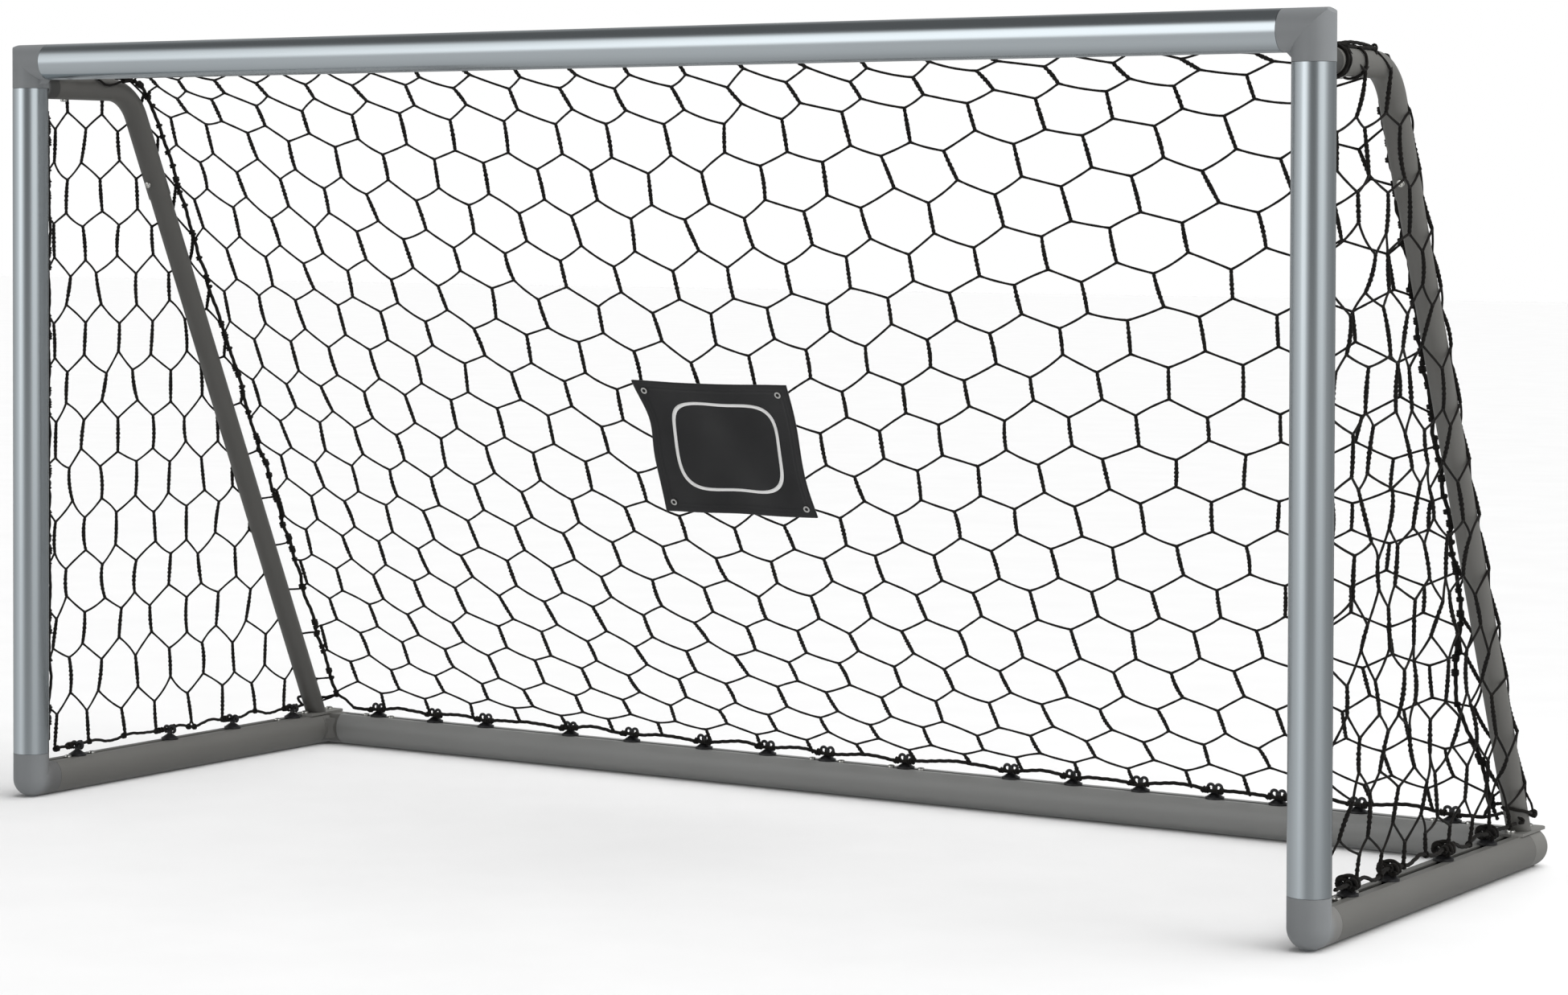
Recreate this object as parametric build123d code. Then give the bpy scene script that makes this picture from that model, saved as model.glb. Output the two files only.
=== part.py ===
"""Free-standing soccer goal: aluminium goal mouth, ground frame, stays, net clips, net panels and hem ropes.

Millimetres. +X to the right as seen from the pitch, the goal mouth faces -Y, +Z up.
The origin is on the ground at the centre of the footprint.
"""

from build123d import *
import math
import os

os.makedirs("parts", exist_ok=True)

# ---------------------------------------------------------------- driving dimensions
WIDTH = 2200.0  # outside of the posts
HEIGHT = 1180.0  # ground to the top of the crossbar
DEPTH = 816.0  # front of the posts to the back of the rear rail
TUBE_R = 28.0  # every main tube is 56 mm across
TUBE_WALL = 2.0
FLAT = 23.0  # from a tube's axis to the flat that carries the clip channel
SLOT_W = 9.0  # mouth of the clip channel
POCKET_W = 17.0  # inside of the clip channel
POCKET_D = 8.0
CHANNEL_WALL = 1.5
ARM = 40.0  # a corner's reach from the crossing of the tube axes to its seam
SEAM_GAP = 0.5  # hairline between a corner and its tube
STAY_R = 18.25  # bent upper stay tube
STAY_WALL = 1.2
LOWER_STAY_R = 16.95  # straight lower stay tube, slides inside the upper one
STAY_Z = 1114.5  # height of the stay's level part
STAY_LEAN = 25.0  # degrees from vertical of the stay's long part
STAY_BEND_R = 75.0
STAY_FOOT_Y = 347.0  # where the lower stay's axis meets the top of its foot plate
PLATE_T = 4.0
SCREW_HEAD_R = 5.6
SCREW_R = 2.3
BOLT_R = 3.0
CLIP_BASE_R = 14.0
CLIP_BASE_H = 3.2  # thickness of a clip's flange
CLIP_NECK_R = 4.8
CLIP_NECK_Z = 9.0  # where the flare ends in the stem
HORN_R = 4.9  # centre-line radius of a clip's curl
HORN_WIRE = 2.3  # radius of the curl's round rod
HORN_OFFSET = 6.2
HORN_Z = 16.5
HORN_SWEEP = 250.0  # degrees that a curl turns
ROPE_R = 2.25
SEAM_R = 3.0
PANEL_T = 2.0
BANNER_W = 266.0
BANNER_H = 223.0
BANNER_X = -2.5
BANNER_Z = 569.0
BANNER_LEAN = 26.0
BANNER_GAP = 9.0  # the panel hangs this far in front of the net, along Y
EYELET_R = 5.2
EYELET_HOLE_R = 2.8
NET_TOP_Y, NET_TOP_Z = -140.0, 1125.0  # where the back net's edges leave the stays' bends
NET_FOOT_Z = 62.0
NET_HALF_W = 1040.0
SAG_TOP, SAG_BELLY, SAG_LOW = 144.0, 89.0, 26.0  # how far in the back net hangs
SEAM_TO_SCREW = (45.0, 98.0)  # both screws of a joint, from the seam
POST_FOOT_SCREWS = (24.0, 98.0)  # the same at a post's foot
SIDE_RAIL_SCREWS = (47.0, 104.0)  # the same at a side rail's rear end
SPIGOT_L = 118.0  # a corner's or splice's plug inside a tube
PLATE_NOSE_Y = 300.0  # front end of a stay's foot plate
PLATE_TAIL_Y = 404.0
PLATE_W = 38.0
SCREW_L = 24.0
BOLT_L = 30.0
LASHINGS = {"left": (-216.0, 8.0, 1.8), "right": (-321.8, 7.0, 2.25)}  # first turn's Y, pitch and cord radius
UPPER_END_Z = 944.0  # lower end of the bent upper stay
UNDER_HORN = 11.6  # height above the flat of a hem rope that passes beside the stems
NET_HEM_Z = 1146.0  # the roof net's front edge, under the crossbar clips

# ---------------------------------------------------------------- derived places
POST_X = WIDTH / 2 - TUBE_R
FRONT_Y = -(DEPTH / 2 - TUBE_R)
REAR_Y = DEPTH / 2 - TUBE_R
BAR_Z = HEIGHT - TUBE_R
RAIL_Z = TUBE_R
RAIL_TOP = RAIL_Z + FLAT
POST_BACK = FRONT_Y + FLAT
CHANNEL_BACK = FLAT - TUBE_WALL - POCKET_D - CHANNEL_WALL
PLATE_TOP = RAIL_TOP + PLATE_T
LEAN = math.radians(STAY_LEAN)
STAY_DOWN = Vector(0, math.sin(LEAN), -math.cos(LEAN))
STAY_KNEE_Y = STAY_FOOT_Y - (STAY_Z - PLATE_TOP) * math.tan(LEAN)
SIDES = {"left": -1, "right": 1}
X, Y, Z = Vector(1, 0, 0), Vector(0, 1, 0), Vector(0, 0, 1)
PLATE_BOLTS_Y = (PLATE_NOSE_Y + 17, PLATE_TAIL_Y - 19)
BESIDE_STEM = HORN_WIRE + ROPE_R + 0.9
SEAM_X = POST_X - 40  # each net seam at its foot
SEAM_TOP_X = POST_X - 27  # and at the bend, closer to the stay
NET_HEM_Y = POST_BACK + 32

# where the clips sit along each tube, uneven as a net is hung by hand
REAR_CLIPS = [-961, -841, -735, -563, -441, -301, -181, -71, 71, 255, 361, 473, 594, 695, 819, 961]
SIDE_CLIPS = {"left": [-271, -43, 120, 282], "right": [-258, -123, 66, 225]}
POST_CLIPS = {
    "left": [124, 268, 395, 496, 626, 734, 844, 954, 1039],
    "right": [118, 262, 388, 505, 622, 739, 850, 948, 1042],
}
BAR_CLIPS = [-1010, -856, -712, -577, -430, -296, -148, -21, 123, 270, 409, 553, 690, 842, 1011]


# ---------------------------------------------------------------- helpers
def frame_at(origin, along, flat):
    """A plane whose Z runs along a tube and whose Y points to the tube's flat."""
    return Plane(origin=origin, x_dir=flat.cross(along), z_dir=along)


def surface_frame(origin, normal, across):
    """A plane lying on a tube's flat: Z is the flat's normal and X is the direction across."""
    return Plane(origin=origin, x_dir=across, z_dir=normal)


def half_disc(radius, flat):
    """A disc of the radius, cut off at the height of the flat."""
    cutter = Pos(0, flat + radius) * Rectangle(4 * radius, 2 * radius)
    return Circle(radius) - cutter


def rail_section():
    """The extrusion: a round wall, a flat, and a T channel behind the flat."""
    cavity = half_disc(TUBE_R - TUBE_WALL, FLAT - TUBE_WALL)
    channel_h = FLAT - CHANNEL_BACK
    channel = Pos(0, CHANNEL_BACK + channel_h / 2) * Rectangle(POCKET_W + 2 * CHANNEL_WALL, channel_h)
    pocket_mid = FLAT - TUBE_WALL - POCKET_D / 2
    pocket = Pos(0, pocket_mid) * Rectangle(POCKET_W, POCKET_D)
    mouth = Pos(0, FLAT - TUBE_WALL / 2) * Rectangle(SLOT_W, 2 * TUBE_WALL)
    return half_disc(TUBE_R, FLAT) - (cavity - channel) - pocket - mouth


def spigot_section(wall=3.0):
    """A hollow plug that fills the extrusion's cavity and clears its channel."""
    radius = TUBE_R - TUBE_WALL - 0.3
    flat = CHANNEL_BACK - 0.4
    return half_disc(radius, flat) - half_disc(radius - wall, flat - wall)


def drill(origin, normal, radius, depth, start=0.0):
    """A round cutter or shank that goes from start to depth below a surface point."""
    plane = Plane(origin=origin - normal * depth, z_dir=normal)
    return extrude(plane * Circle(radius), depth - start)


def screw(origin, normal, length, head_r=SCREW_HEAD_R, shank_r=SCREW_R, head_h=3.6):
    """A pan-head screw with a cross recess; origin is on the surface under the head."""
    plane = Plane(origin=origin, z_dir=normal)
    head = Pos(0, 0, head_h / 2) * Cylinder(head_r, head_h)
    head = fillet(head.edges().group_by(Axis.Z)[-1], head_h * 0.6)
    shank = Pos(0, 0, -length / 2) * Cylinder(shank_r, length)
    recess = Pos(0, 0, head_h) * (Box(1.2, head_r, 2.4) + Box(head_r, 1.2, 2.4))
    return plane.location * (head + shank - recess)


def write(name, shape):
    """Writes one node as a compound of its separate solids."""
    solids = shape.solids() if hasattr(shape, "solids") else ShapeList(shape)
    export_step(Compound(children=list(solids)), f"parts/{name}.step")


def write_group(name, shapes):
    """Writes several separate solids as one node."""
    solids = [solid for shape in shapes for solid in shape.solids()]
    export_step(Compound(children=solids), f"parts/{name}.step")


# ---------------------------------------------------------------- where every screw sits


def joint_screws():
    """Lists (point on the flat, normal) for the front frame and for the ground frame."""
    front, ground = [], []
    for s in SIDES.values():
        for d in SEAM_TO_SCREW:
            front.append((Vector(s * (POST_X - ARM - d), POST_BACK, BAR_Z), Y))
            front.append((Vector(s * POST_X, POST_BACK, BAR_Z - ARM - d), Y))
            front.append((Vector(s * d, POST_BACK, BAR_Z), Y))
            ground.append((Vector(s * (POST_X - ARM - d), REAR_Y, RAIL_TOP), Z))
            ground.append((Vector(s * d, REAR_Y, RAIL_TOP), Z))
        for d in POST_FOOT_SCREWS:
            front.append((Vector(s * POST_X, POST_BACK, RAIL_Z + ARM + d), Y))
        for d in SIDE_RAIL_SCREWS:
            ground.append((Vector(s * POST_X, FRONT_Y + ARM + d, RAIL_TOP), Z))
        ground.append((Vector(s * POST_X, REAR_Y - ARM - SEAM_TO_SCREW[1], RAIL_TOP), Z))
    return front, ground


FRONT_SCREWS, GROUND_SCREWS = joint_screws()


def screw_holes(part, radius):
    """Drills every joint screw's and foot bolt's hole that reaches the part."""
    box = part.bounding_box()
    for origin, normal in FRONT_SCREWS + GROUND_SCREWS:
        inside = (
            box.min.X - 1 < origin.X < box.max.X + 1
            and box.min.Y - 9 < origin.Y < box.max.Y + 30
            and box.min.Z - 9 < origin.Z < box.max.Z + 30
        )
        if inside:
            part -= drill(origin, normal, radius, SCREW_L + 2, -2)
    for s in SIDES.values():
        for y in PLATE_BOLTS_Y:
            if abs(box.center().X - s * POST_X) < 200 and box.max.Y > y > box.min.Y and box.max.Z < 80:
                part -= drill(Vector(s * POST_X, y, RAIL_TOP), Z, radius + BOLT_R - SCREW_R, BOLT_L + 2, -2)
    return part


# ---------------------------------------------------------------- extrusions
def extrusion(start, along, flat, length):
    """One length of the main extrusion, with its joint screws' holes."""
    body = extrude(frame_at(start, along, flat) * rail_section(), length)
    return screw_holes(body, SCREW_R + 0.25)


def make_extrusions():
    inset = ARM + SEAM_GAP
    post_l = BAR_Z - RAIL_Z - 2 * inset
    half_bar = POST_X - inset
    side_l = REAR_Y - FRONT_Y - 2 * inset
    for name, s in SIDES.items():
        write(f"{name}_post", extrusion(Vector(s * POST_X, FRONT_Y, RAIL_Z + inset), Z, Y, post_l))
        write(f"crossbar_{name}", extrusion(Vector(0, FRONT_Y, BAR_Z), X * s, Y, half_bar))
        write(f"{name}_ground_rail", extrusion(Vector(s * POST_X, FRONT_Y + inset, RAIL_Z), Y, Z, side_l))
        write(f"rear_ground_rail_{name}", extrusion(Vector(0, REAR_Y, RAIL_Z), X * s, Z, half_bar))


def make_splices():
    """The two inner sleeves that join the halves of the crossbar and of the rear rail."""
    for name, y, z, flat in (("crossbar_splice", FRONT_Y, BAR_Z, Y), ("rear_ground_splice", REAR_Y, RAIL_Z, Z)):
        start = Vector(-SPIGOT_L, y, z)
        sleeve = extrude(frame_at(start, X, flat) * spigot_section(2.5), 2 * SPIGOT_L)
        write(name, screw_holes(sleeve, SCREW_R + 0.15))


# ---------------------------------------------------------------- corner mouldings
def arm(node, along, flat, radius):
    """One arm of a corner, from the crossing of the axes to its seam."""
    return extrude(frame_at(node, along, flat) * half_disc(radius, FLAT if radius > 26 else radius), ARM)


def spigot(node, along, flat):
    start = node + along * (ARM - 7)
    return extrude(frame_at(start, along, flat) * spigot_section(), SPIGOT_L + 7)


def web(node, a, b, size, half_width, reach=TUBE_R):
    """A small three-cornered web in the inner corner between arms a and b."""
    inner = node + (a + b) * reach
    points = [inner - (a + b) * 3, inner + a * size - b * 3, inner + b * size - a * 3]
    face = make_face(Polyline(*points, close=True))
    normal = a.cross(b)
    return extrude(face, half_width, dir=normal) + extrude(face, half_width, dir=normal * -1)


def bottom_corner(s):
    """Front lower elbow: post above, side rail behind, a rounded heel and a small flat foot."""
    node = Vector(s * POST_X, FRONT_Y, RAIL_Z)
    inner_r = TUBE_R - 4
    body = Pos(*node) * Sphere(TUBE_R) + arm(node, Z, Y, TUBE_R) + arm(node, Y, Z, TUBE_R)
    foot = Pos(node.X, node.Y, 3) * Cylinder(10, 6)
    hollow = Pos(*node) * Sphere(inner_r)
    for along, flat in ((Z, Y), (Y, Z)):
        hollow += extrude(frame_at(node, along, flat) * half_disc(inner_r, FLAT - 4), ARM)
    body = body + foot + web(node, Y, Z, 7, 9, FLAT) - hollow
    return body + spigot(node, Z, Y) + spigot(node, Y, Z)


def rear_corner(s):
    """Rear elbow of the ground frame: side rail in front, rear rail towards the middle, a rounded outer heel."""
    node = Vector(s * POST_X, REAR_Y, RAIL_Z)
    inner_r = TUBE_R - 4
    inward, forward = X * -s, Y * -1
    body = Pos(*node) * Sphere(TUBE_R) + arm(node, inward, Z, TUBE_R) + arm(node, forward, Z, TUBE_R)
    body = body + Pos(node.X, node.Y, 3) * Cylinder(10, 6) + web(node, inward, forward, 9, 17)
    body -= Pos(node.X, node.Y, RAIL_TOP + 20) * Box(200, 200, 40)
    hollow = Pos(*node) * Sphere(inner_r) - Pos(node.X, node.Y, RAIL_TOP + 16) * Box(200, 200, 40)
    for along in (inward, forward):
        hollow += extrude(frame_at(node, along, Z) * half_disc(inner_r, FLAT - 4), ARM)
    body -= hollow
    return body + spigot(node, inward, Z) + spigot(node, forward, Z)


def top_corner(s):
    """Three-way top moulding: mitred elbow with a chamfered outer corner, and a rear stub for the stay."""
    node = Vector(s * POST_X, FRONT_Y, BAR_Z)
    inward = X * -s
    reach = ARM + TUBE_R
    across = extrude(frame_at(node - inward * TUBE_R, inward, Y) * half_disc(TUBE_R, FLAT), reach)
    upright = extrude(frame_at(node + Z * TUBE_R, Z * -1, Y) * half_disc(TUBE_R, FLAT), reach)
    mitre_size = 300.0
    upper = Pos(*node) * Rot(0, s * 45, 0) * Pos(-s * mitre_size / 2, 0, 0) * Box(mitre_size, mitre_size, mitre_size)
    lower = Pos(*node) * Rot(0, s * 45, 0) * Pos(s * mitre_size / 2, 0, 0) * Box(mitre_size, mitre_size, mitre_size)
    body = (across & upper) + (upright & lower)
    chamfer_reach = (2 * TUBE_R - 8) / math.sqrt(2)
    body -= Pos(*node) * Rot(0, -s * 45, 0) * Pos(s * (chamfer_reach + 50), 0, 0) * Box(100, 200, 200)
    stub_start = Vector(node.X, FRONT_Y + 8, STAY_Z)
    stub = extrude(Plane(origin=stub_start, z_dir=Y) * Circle(STAY_R), 42)
    stub -= Pos(node.X, FRONT_Y, BAR_Z - ARM - 50) * Box(100, 2 * FLAT + 0.8, 100)
    neck = Pos(node.X, FRONT_Y + FLAT + 5, STAY_Z + 20) * Box(26, 18, 34)
    neck = neck & (Pos(node.X, FRONT_Y + 9, BAR_Z) * Box(200, 48, 56))
    stay_plug = extrude(Plane(origin=Vector(node.X, FRONT_Y + 44, STAY_Z), z_dir=Y) * Circle(16.6), 66)
    solid = body + stub + neck + stay_plug + web(node, inward, Z * -1, 8, 9)
    hollow = Pos(*node) * Sphere(TUBE_R - 5)
    hollow &= Pos(node.X, node.Y + FLAT - 4 - 50, node.Z) * Box(100, 100, 100)
    for along in (inward, Z * -1):
        hollow += extrude(frame_at(node, along, Y) * half_disc(TUBE_R - 4, FLAT - 4), ARM)
    solid -= hollow
    return solid + spigot(node, inward, Y) + spigot(node, Z * -1, Y)


def make_corners():
    for name, s in SIDES.items():
        write(f"bottom_{name}_corner", screw_holes(bottom_corner(s), SCREW_R + 0.15))
        write(f"rear_{name}_corner", screw_holes(rear_corner(s), SCREW_R + 0.15))
        top = screw_holes(top_corner(s), SCREW_R + 0.15)
        top -= drill(*socket_screw_place(s), SCREW_R + 0.15, 30, -2)
        write(f"top_{name}_corner", top)


# ---------------------------------------------------------------- stays
def stay_point(s, z):
    """The point on the lower stay's axis at a height."""
    return Vector(s * POST_X, STAY_FOOT_Y - (z - PLATE_TOP) * math.tan(LEAN), z)


def joint_screw_place(s):
    """Where the screw through both stay tubes sits: on the front of the upper tube."""
    forward = Vector(0, -math.cos(LEAN), -math.sin(LEAN))
    return stay_point(s, UPPER_END_Z + 26) + forward * STAY_R, forward


def socket_screw_place(s):
    """Where the screw into the top corner's plug sits: under the level part."""
    return Vector(s * POST_X, FRONT_Y + 78, STAY_Z - STAY_R), Z * -1


def stay_bend(s):
    start = Vector(s * POST_X, FRONT_Y + 50.2, STAY_Z)
    knee = Vector(s * POST_X, STAY_KNEE_Y, STAY_Z)
    end = stay_point(s, UPPER_END_Z)
    path = FilletPolyline(start, knee, end, radius=STAY_BEND_R)
    section = Plane(origin=start, z_dir=Y) * (Circle(STAY_R) - Circle(STAY_R - STAY_WALL))
    body = sweep(section, path=path)
    body -= drill(*joint_screw_place(s), SCREW_R + 0.25, 12, -2)
    return body - drill(*socket_screw_place(s), SCREW_R + 0.25, 6, -2)


def lower_stay(s):
    top = stay_point(s, UPPER_END_Z) - STAY_DOWN * 62
    length = (top - stay_point(s, RAIL_TOP - 30)).length
    body = extrude(Plane(origin=top, z_dir=STAY_DOWN) * (Circle(LOWER_STAY_R) - Circle(LOWER_STAY_R - STAY_WALL)), length)
    body -= Pos(s * POST_X, STAY_FOOT_Y, PLATE_TOP - 50) * Box(100, 200, 100)
    return body - drill(*joint_screw_place(s), SCREW_R + 0.25, 12, -2)


def foot_plate(s):
    """A flat bar with a clipped nose that carries the stay and bridges the rail and the rear corner."""
    nose = 12.0
    half = PLATE_W / 2
    x = s * POST_X
    outline = Polyline(
        (x - half, PLATE_NOSE_Y + nose),
        (x - half + nose, PLATE_NOSE_Y),
        (x + half - nose, PLATE_NOSE_Y),
        (x + half, PLATE_NOSE_Y + nose),
        (x + half, PLATE_TAIL_Y - 5),
        (x + half - 5, PLATE_TAIL_Y),
        (x - half + 5, PLATE_TAIL_Y),
        (x - half, PLATE_TAIL_Y - 5),
        close=True,
    )
    plate = extrude(Pos(0, 0, RAIL_TOP) * make_face(outline), PLATE_T)
    for y in PLATE_BOLTS_Y:
        plate -= Pos(x, y, RAIL_TOP) * Cylinder(BOLT_R + 0.3, 4 * PLATE_T)
    return plate


def make_stays():
    joints, sockets, bolts = [], [], []
    for name, s in SIDES.items():
        write(f"{name}_stay_bend", stay_bend(s))
        write(f"{name}_stay", lower_stay(s))
        write(f"{name}_stay_foot", foot_plate(s))
        joints.append(screw(*joint_screw_place(s), 11))
        sockets.append(screw(*socket_screw_place(s), 16))
        for y in PLATE_BOLTS_Y:
            at = Vector(s * POST_X, y, PLATE_TOP)
            bolts.append(screw(at, Z, BOLT_L, head_r=6.2, shank_r=BOLT_R, head_h=4.4))
    write_group("stay_joint_screws", joints)
    write_group("stay_socket_screws", sockets)
    write_group("stay_foot_bolts", bolts)


def make_frame_screws():
    write_group("front_frame_screws", [screw(at, normal, SCREW_L) for at, normal in FRONT_SCREWS])
    write_group("ground_frame_screws", [screw(at, normal, SCREW_L) for at, normal in GROUND_SCREWS])


# ---------------------------------------------------------------- net clips
def clip(foot_turned):
    """A ram's-horn clip: flanged foot on the flat, stem, two curls, and a T foot inside the channel."""
    flange = Pos(0, 0, CLIP_BASE_H / 2) * Cylinder(CLIP_BASE_R, CLIP_BASE_H)
    flare_h = CLIP_NECK_Z - CLIP_BASE_H
    flare = Pos(0, 0, CLIP_BASE_H + flare_h / 2) * Cone(CLIP_BASE_R - 1.0, CLIP_NECK_R, flare_h)
    stem = Pos(0, 0, (CLIP_NECK_Z + HORN_Z) / 2) * Box(7.0, 2 * HORN_WIRE, HORN_Z - CLIP_NECK_Z + 2)
    body = flange + flare + stem
    for side in (-1, 1):
        start = Plane.XY.offset(HORN_Z) * Pos(side * (HORN_OFFSET - HORN_R), 0) * Circle(HORN_WIRE)
        turn = Axis((side * HORN_OFFSET, 0, HORN_Z), (0, side, 0))
        body += revolve(start, turn, HORN_SWEEP)
        tip = math.radians(180 - HORN_SWEEP)
        tip_x = side * (HORN_OFFSET + HORN_R * math.cos(tip))
        body += Pos(tip_x, 0, HORN_Z + HORN_R * math.sin(tip)) * Sphere(HORN_WIRE)
    neck = Pos(0, 0, -TUBE_WALL / 2) * Cylinder(SLOT_W / 2 - 0.4, TUBE_WALL)
    bar = Box(8, POCKET_W - 1, 3.2) if not foot_turned else Box(POCKET_W - 1, 8, 3.2)
    return body + neck + Pos(0, 0, -TUBE_WALL - 1.8) * bar + Pos(0, 0, -TUBE_WALL - 0.5) * Cylinder(4, 1)


def make_clips():
    along = clip(False)
    across = clip(True)
    bar = [surface_frame(Vector(x, POST_BACK, BAR_Z), Y, X).location * along for x in BAR_CLIPS]
    write_group("crossbar_clips", bar)
    rear = [surface_frame(Vector(x, REAR_Y, RAIL_TOP), Z, X).location * along for x in REAR_CLIPS]
    write_group("rear_rail_clips", rear)
    for name, s in SIDES.items():
        x = s * POST_X
        post = [surface_frame(Vector(x, POST_BACK, z), Y, Z).location * along for z in POST_CLIPS[name]]
        write_group(f"{name}_post_clips", post)
        rail = [surface_frame(Vector(x, y, RAIL_TOP), Z, X).location * across for y in SIDE_CLIPS[name]]
        write_group(f"{name}_rail_clips", rail)


# ---------------------------------------------------------------- hem ropes, seams and lashings
def tube(points, radii, radius):
    """A round cord along straight runs joined by tangent arcs."""
    path = FilletPolyline(*points, radius=radii)
    start = Plane(origin=path @ 0, z_dir=path % 0)
    return sweep(start * Circle(radius), path=path)


def hem_points(stations, base, along, offset, lift, start, end):
    """Points of a hem rope: straight through each clip, and lifted a little between two clips."""
    marks = [start]
    for a, b in zip(stations[:-1], stations[1:]):
        marks += [a, (a + b) / 2]
    marks += [stations[-1], end]
    middles = {(a + b) / 2 for a, b in zip(stations[:-1], stations[1:])}
    return [base + along * m + offset + (lift if m in middles else Vector(0, 0, 0)) for m in marks]


def corner_radii(points):
    """An arc for each inner point that uses 0.45 of its shorter run."""
    radii = []
    for a, b, c in zip(points[:-2], points[1:-1], points[2:]):
        turn = math.radians((b - a).get_angle(c - b))
        radii.append(0.45 * min((b - a).length, (c - b).length) / math.tan(turn / 2))
    return radii


def hem(name, stations, base, along, offset, lift, start, end):
    points = hem_points(stations, base, along, offset, lift, start, end)
    # a small nudge at every other point, so that no three points are in line
    points = [p - lift * 0.12 * (i % 2) for i, p in enumerate(points)]
    write(name, tube(points, corner_radii(points), ROPE_R))


def make_hems():
    bar_at = Vector(0, POST_BACK + UNDER_HORN, BAR_Z - BESIDE_STEM)
    hem("crossbar_hem_rope", BAR_CLIPS, bar_at, X, Vector(0, 0, 0), Vector(0, 1.5, -2.0), -1022, 1022)
    rear_at = Vector(0, REAR_Y - BESIDE_STEM, RAIL_TOP + UNDER_HORN)
    hem("rear_rail_hem_rope", REAR_CLIPS, rear_at, X, Vector(0, 0, 0), Vector(0, -1.5, 4.0), -1010, 1010)
    for name, s in SIDES.items():
        post_at = Vector(s * (POST_X - BESIDE_STEM), POST_BACK + UNDER_HORN, 0)
        hem(f"{name}_post_hem_rope", POST_CLIPS[name], post_at, Z, Vector(0, 0, 0), Vector(-s * 1.0, 3.0, 0), 84, 1076)
        rail_at = Vector(s * (POST_X + HORN_OFFSET), 0, RAIL_TOP + HORN_Z)
        hem(f"{name}_rail_hem_rope", SIDE_CLIPS[name], rail_at, Y, Vector(0, 0, 0), Vector(0, 0, -2.5), -316, 318)


def net_edge_y(z):
    """The back net's side edges run straight from the stays' bends to the rear rail."""
    return NET_TOP_Y + (NET_TOP_Z - z) * (REAR_Y - NET_TOP_Y) / (NET_TOP_Z - NET_FOOT_Z)


def net_back_y(x, z):
    """The back net between its edges, where nothing holds it and it hangs in towards the mouth."""
    t = (z - NET_FOOT_Z) / (NET_TOP_Z - NET_FOOT_Z)
    spread = 1 - abs(x / NET_HALF_W) ** 2.5
    sag = SAG_TOP * t + SAG_BELLY * math.sin(math.pi * t) + SAG_LOW * math.sin(2 * math.pi * t)
    return net_edge_y(z) - spread * sag


def make_seams():
    for name, s in SIDES.items():
        x = s * SEAM_TOP_X
        points = [
            Vector(x, NET_HEM_Y, NET_HEM_Z + 4),
            Vector(x, NET_TOP_Y - 20, NET_HEM_Z - 8),
            Vector(x, net_edge_y(1090), 1090),
            Vector(s * SEAM_X, net_edge_y(92), 92),
        ]
        write(f"{name}_net_seam", tube(points, [60, 90], SEAM_R))


def make_lashings():
    """Two turns of cord round the level part of each stay."""
    for name, s in SIDES.items():
        turns = []
        first, apart, cord_r = LASHINGS[name]
        for y in (first, first + apart):
            ring = Torus(STAY_R + cord_r + 0.6, cord_r)
            turns.append(Pos(s * POST_X, y, STAY_Z) * Rot(90, 0, 0) * ring)
        write_group(f"{name}_corner_lashing", turns)


# ---------------------------------------------------------------- net panels and banner
def panel(points, thickness):
    """A thin flat closed panel through coplanar points, thickness centred on their plane."""
    face = make_face(Polyline(*points, close=True))
    normal = face.faces()[0].normal_at()
    return extrude(face, thickness / 2, dir=normal) + extrude(face, thickness / 2, dir=normal * -1)


def thin_section(plane, points, thickness):
    """A thin closed profile: a smooth line through points, and the same line moved back by the thickness."""
    moved = [(u, v + thickness) for u, v in points]
    front = Spline(*points) if len(points) > 2 else Line(*points)
    rear = Spline(*moved) if len(points) > 2 else Line(*moved)
    ends = [Line(points[0], moved[0]), Line(points[-1], moved[-1])]
    return plane * make_face([front, rear, *ends])


def sampled(low, high, count):
    return [low + (high - low) * i / (count - 1) for i in range(count)]


def make_net():
    half = SEAM_X - SEAM_R - 4
    columns = sampled(-half, half, 13)
    levels = sampled(88.0, 1112.0, 9)
    back = [thin_section(Plane.XY.offset(z), [(x, net_back_y(x, z)) for x in columns], PANEL_T) for z in levels]
    write("net_back", loft(back))
    roof = []
    for x in columns:
        rear_y = net_back_y(x, 1116)
        place = Plane(origin=(x, 0, 0), x_dir=(0, 1, 0), z_dir=(1, 0, 0))
        roof.append(thin_section(place, [(NET_HEM_Y, NET_HEM_Z), (rear_y, 1118)], PANEL_T))
    write("net_roof", loft(roof))
    for name, s in SIDES.items():
        x = s * (POST_X + STAY_R + 2.5)
        low_z, high_z = 74.0, STAY_Z + 10
        side = [
            Vector(x, POST_BACK + 34, low_z),
            Vector(x, net_edge_y(low_z), low_z),
            Vector(x, net_edge_y(1060), 1060),
            Vector(x, NET_TOP_Y - 34, high_z),
            Vector(x, FRONT_Y + 80, high_z),
            Vector(x, FRONT_Y + 80, STAY_Z - 28),
            Vector(x, POST_BACK + 34, STAY_Z - 28),
        ]
        write(f"net_{name}_side", panel(side, PANEL_T))


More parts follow.
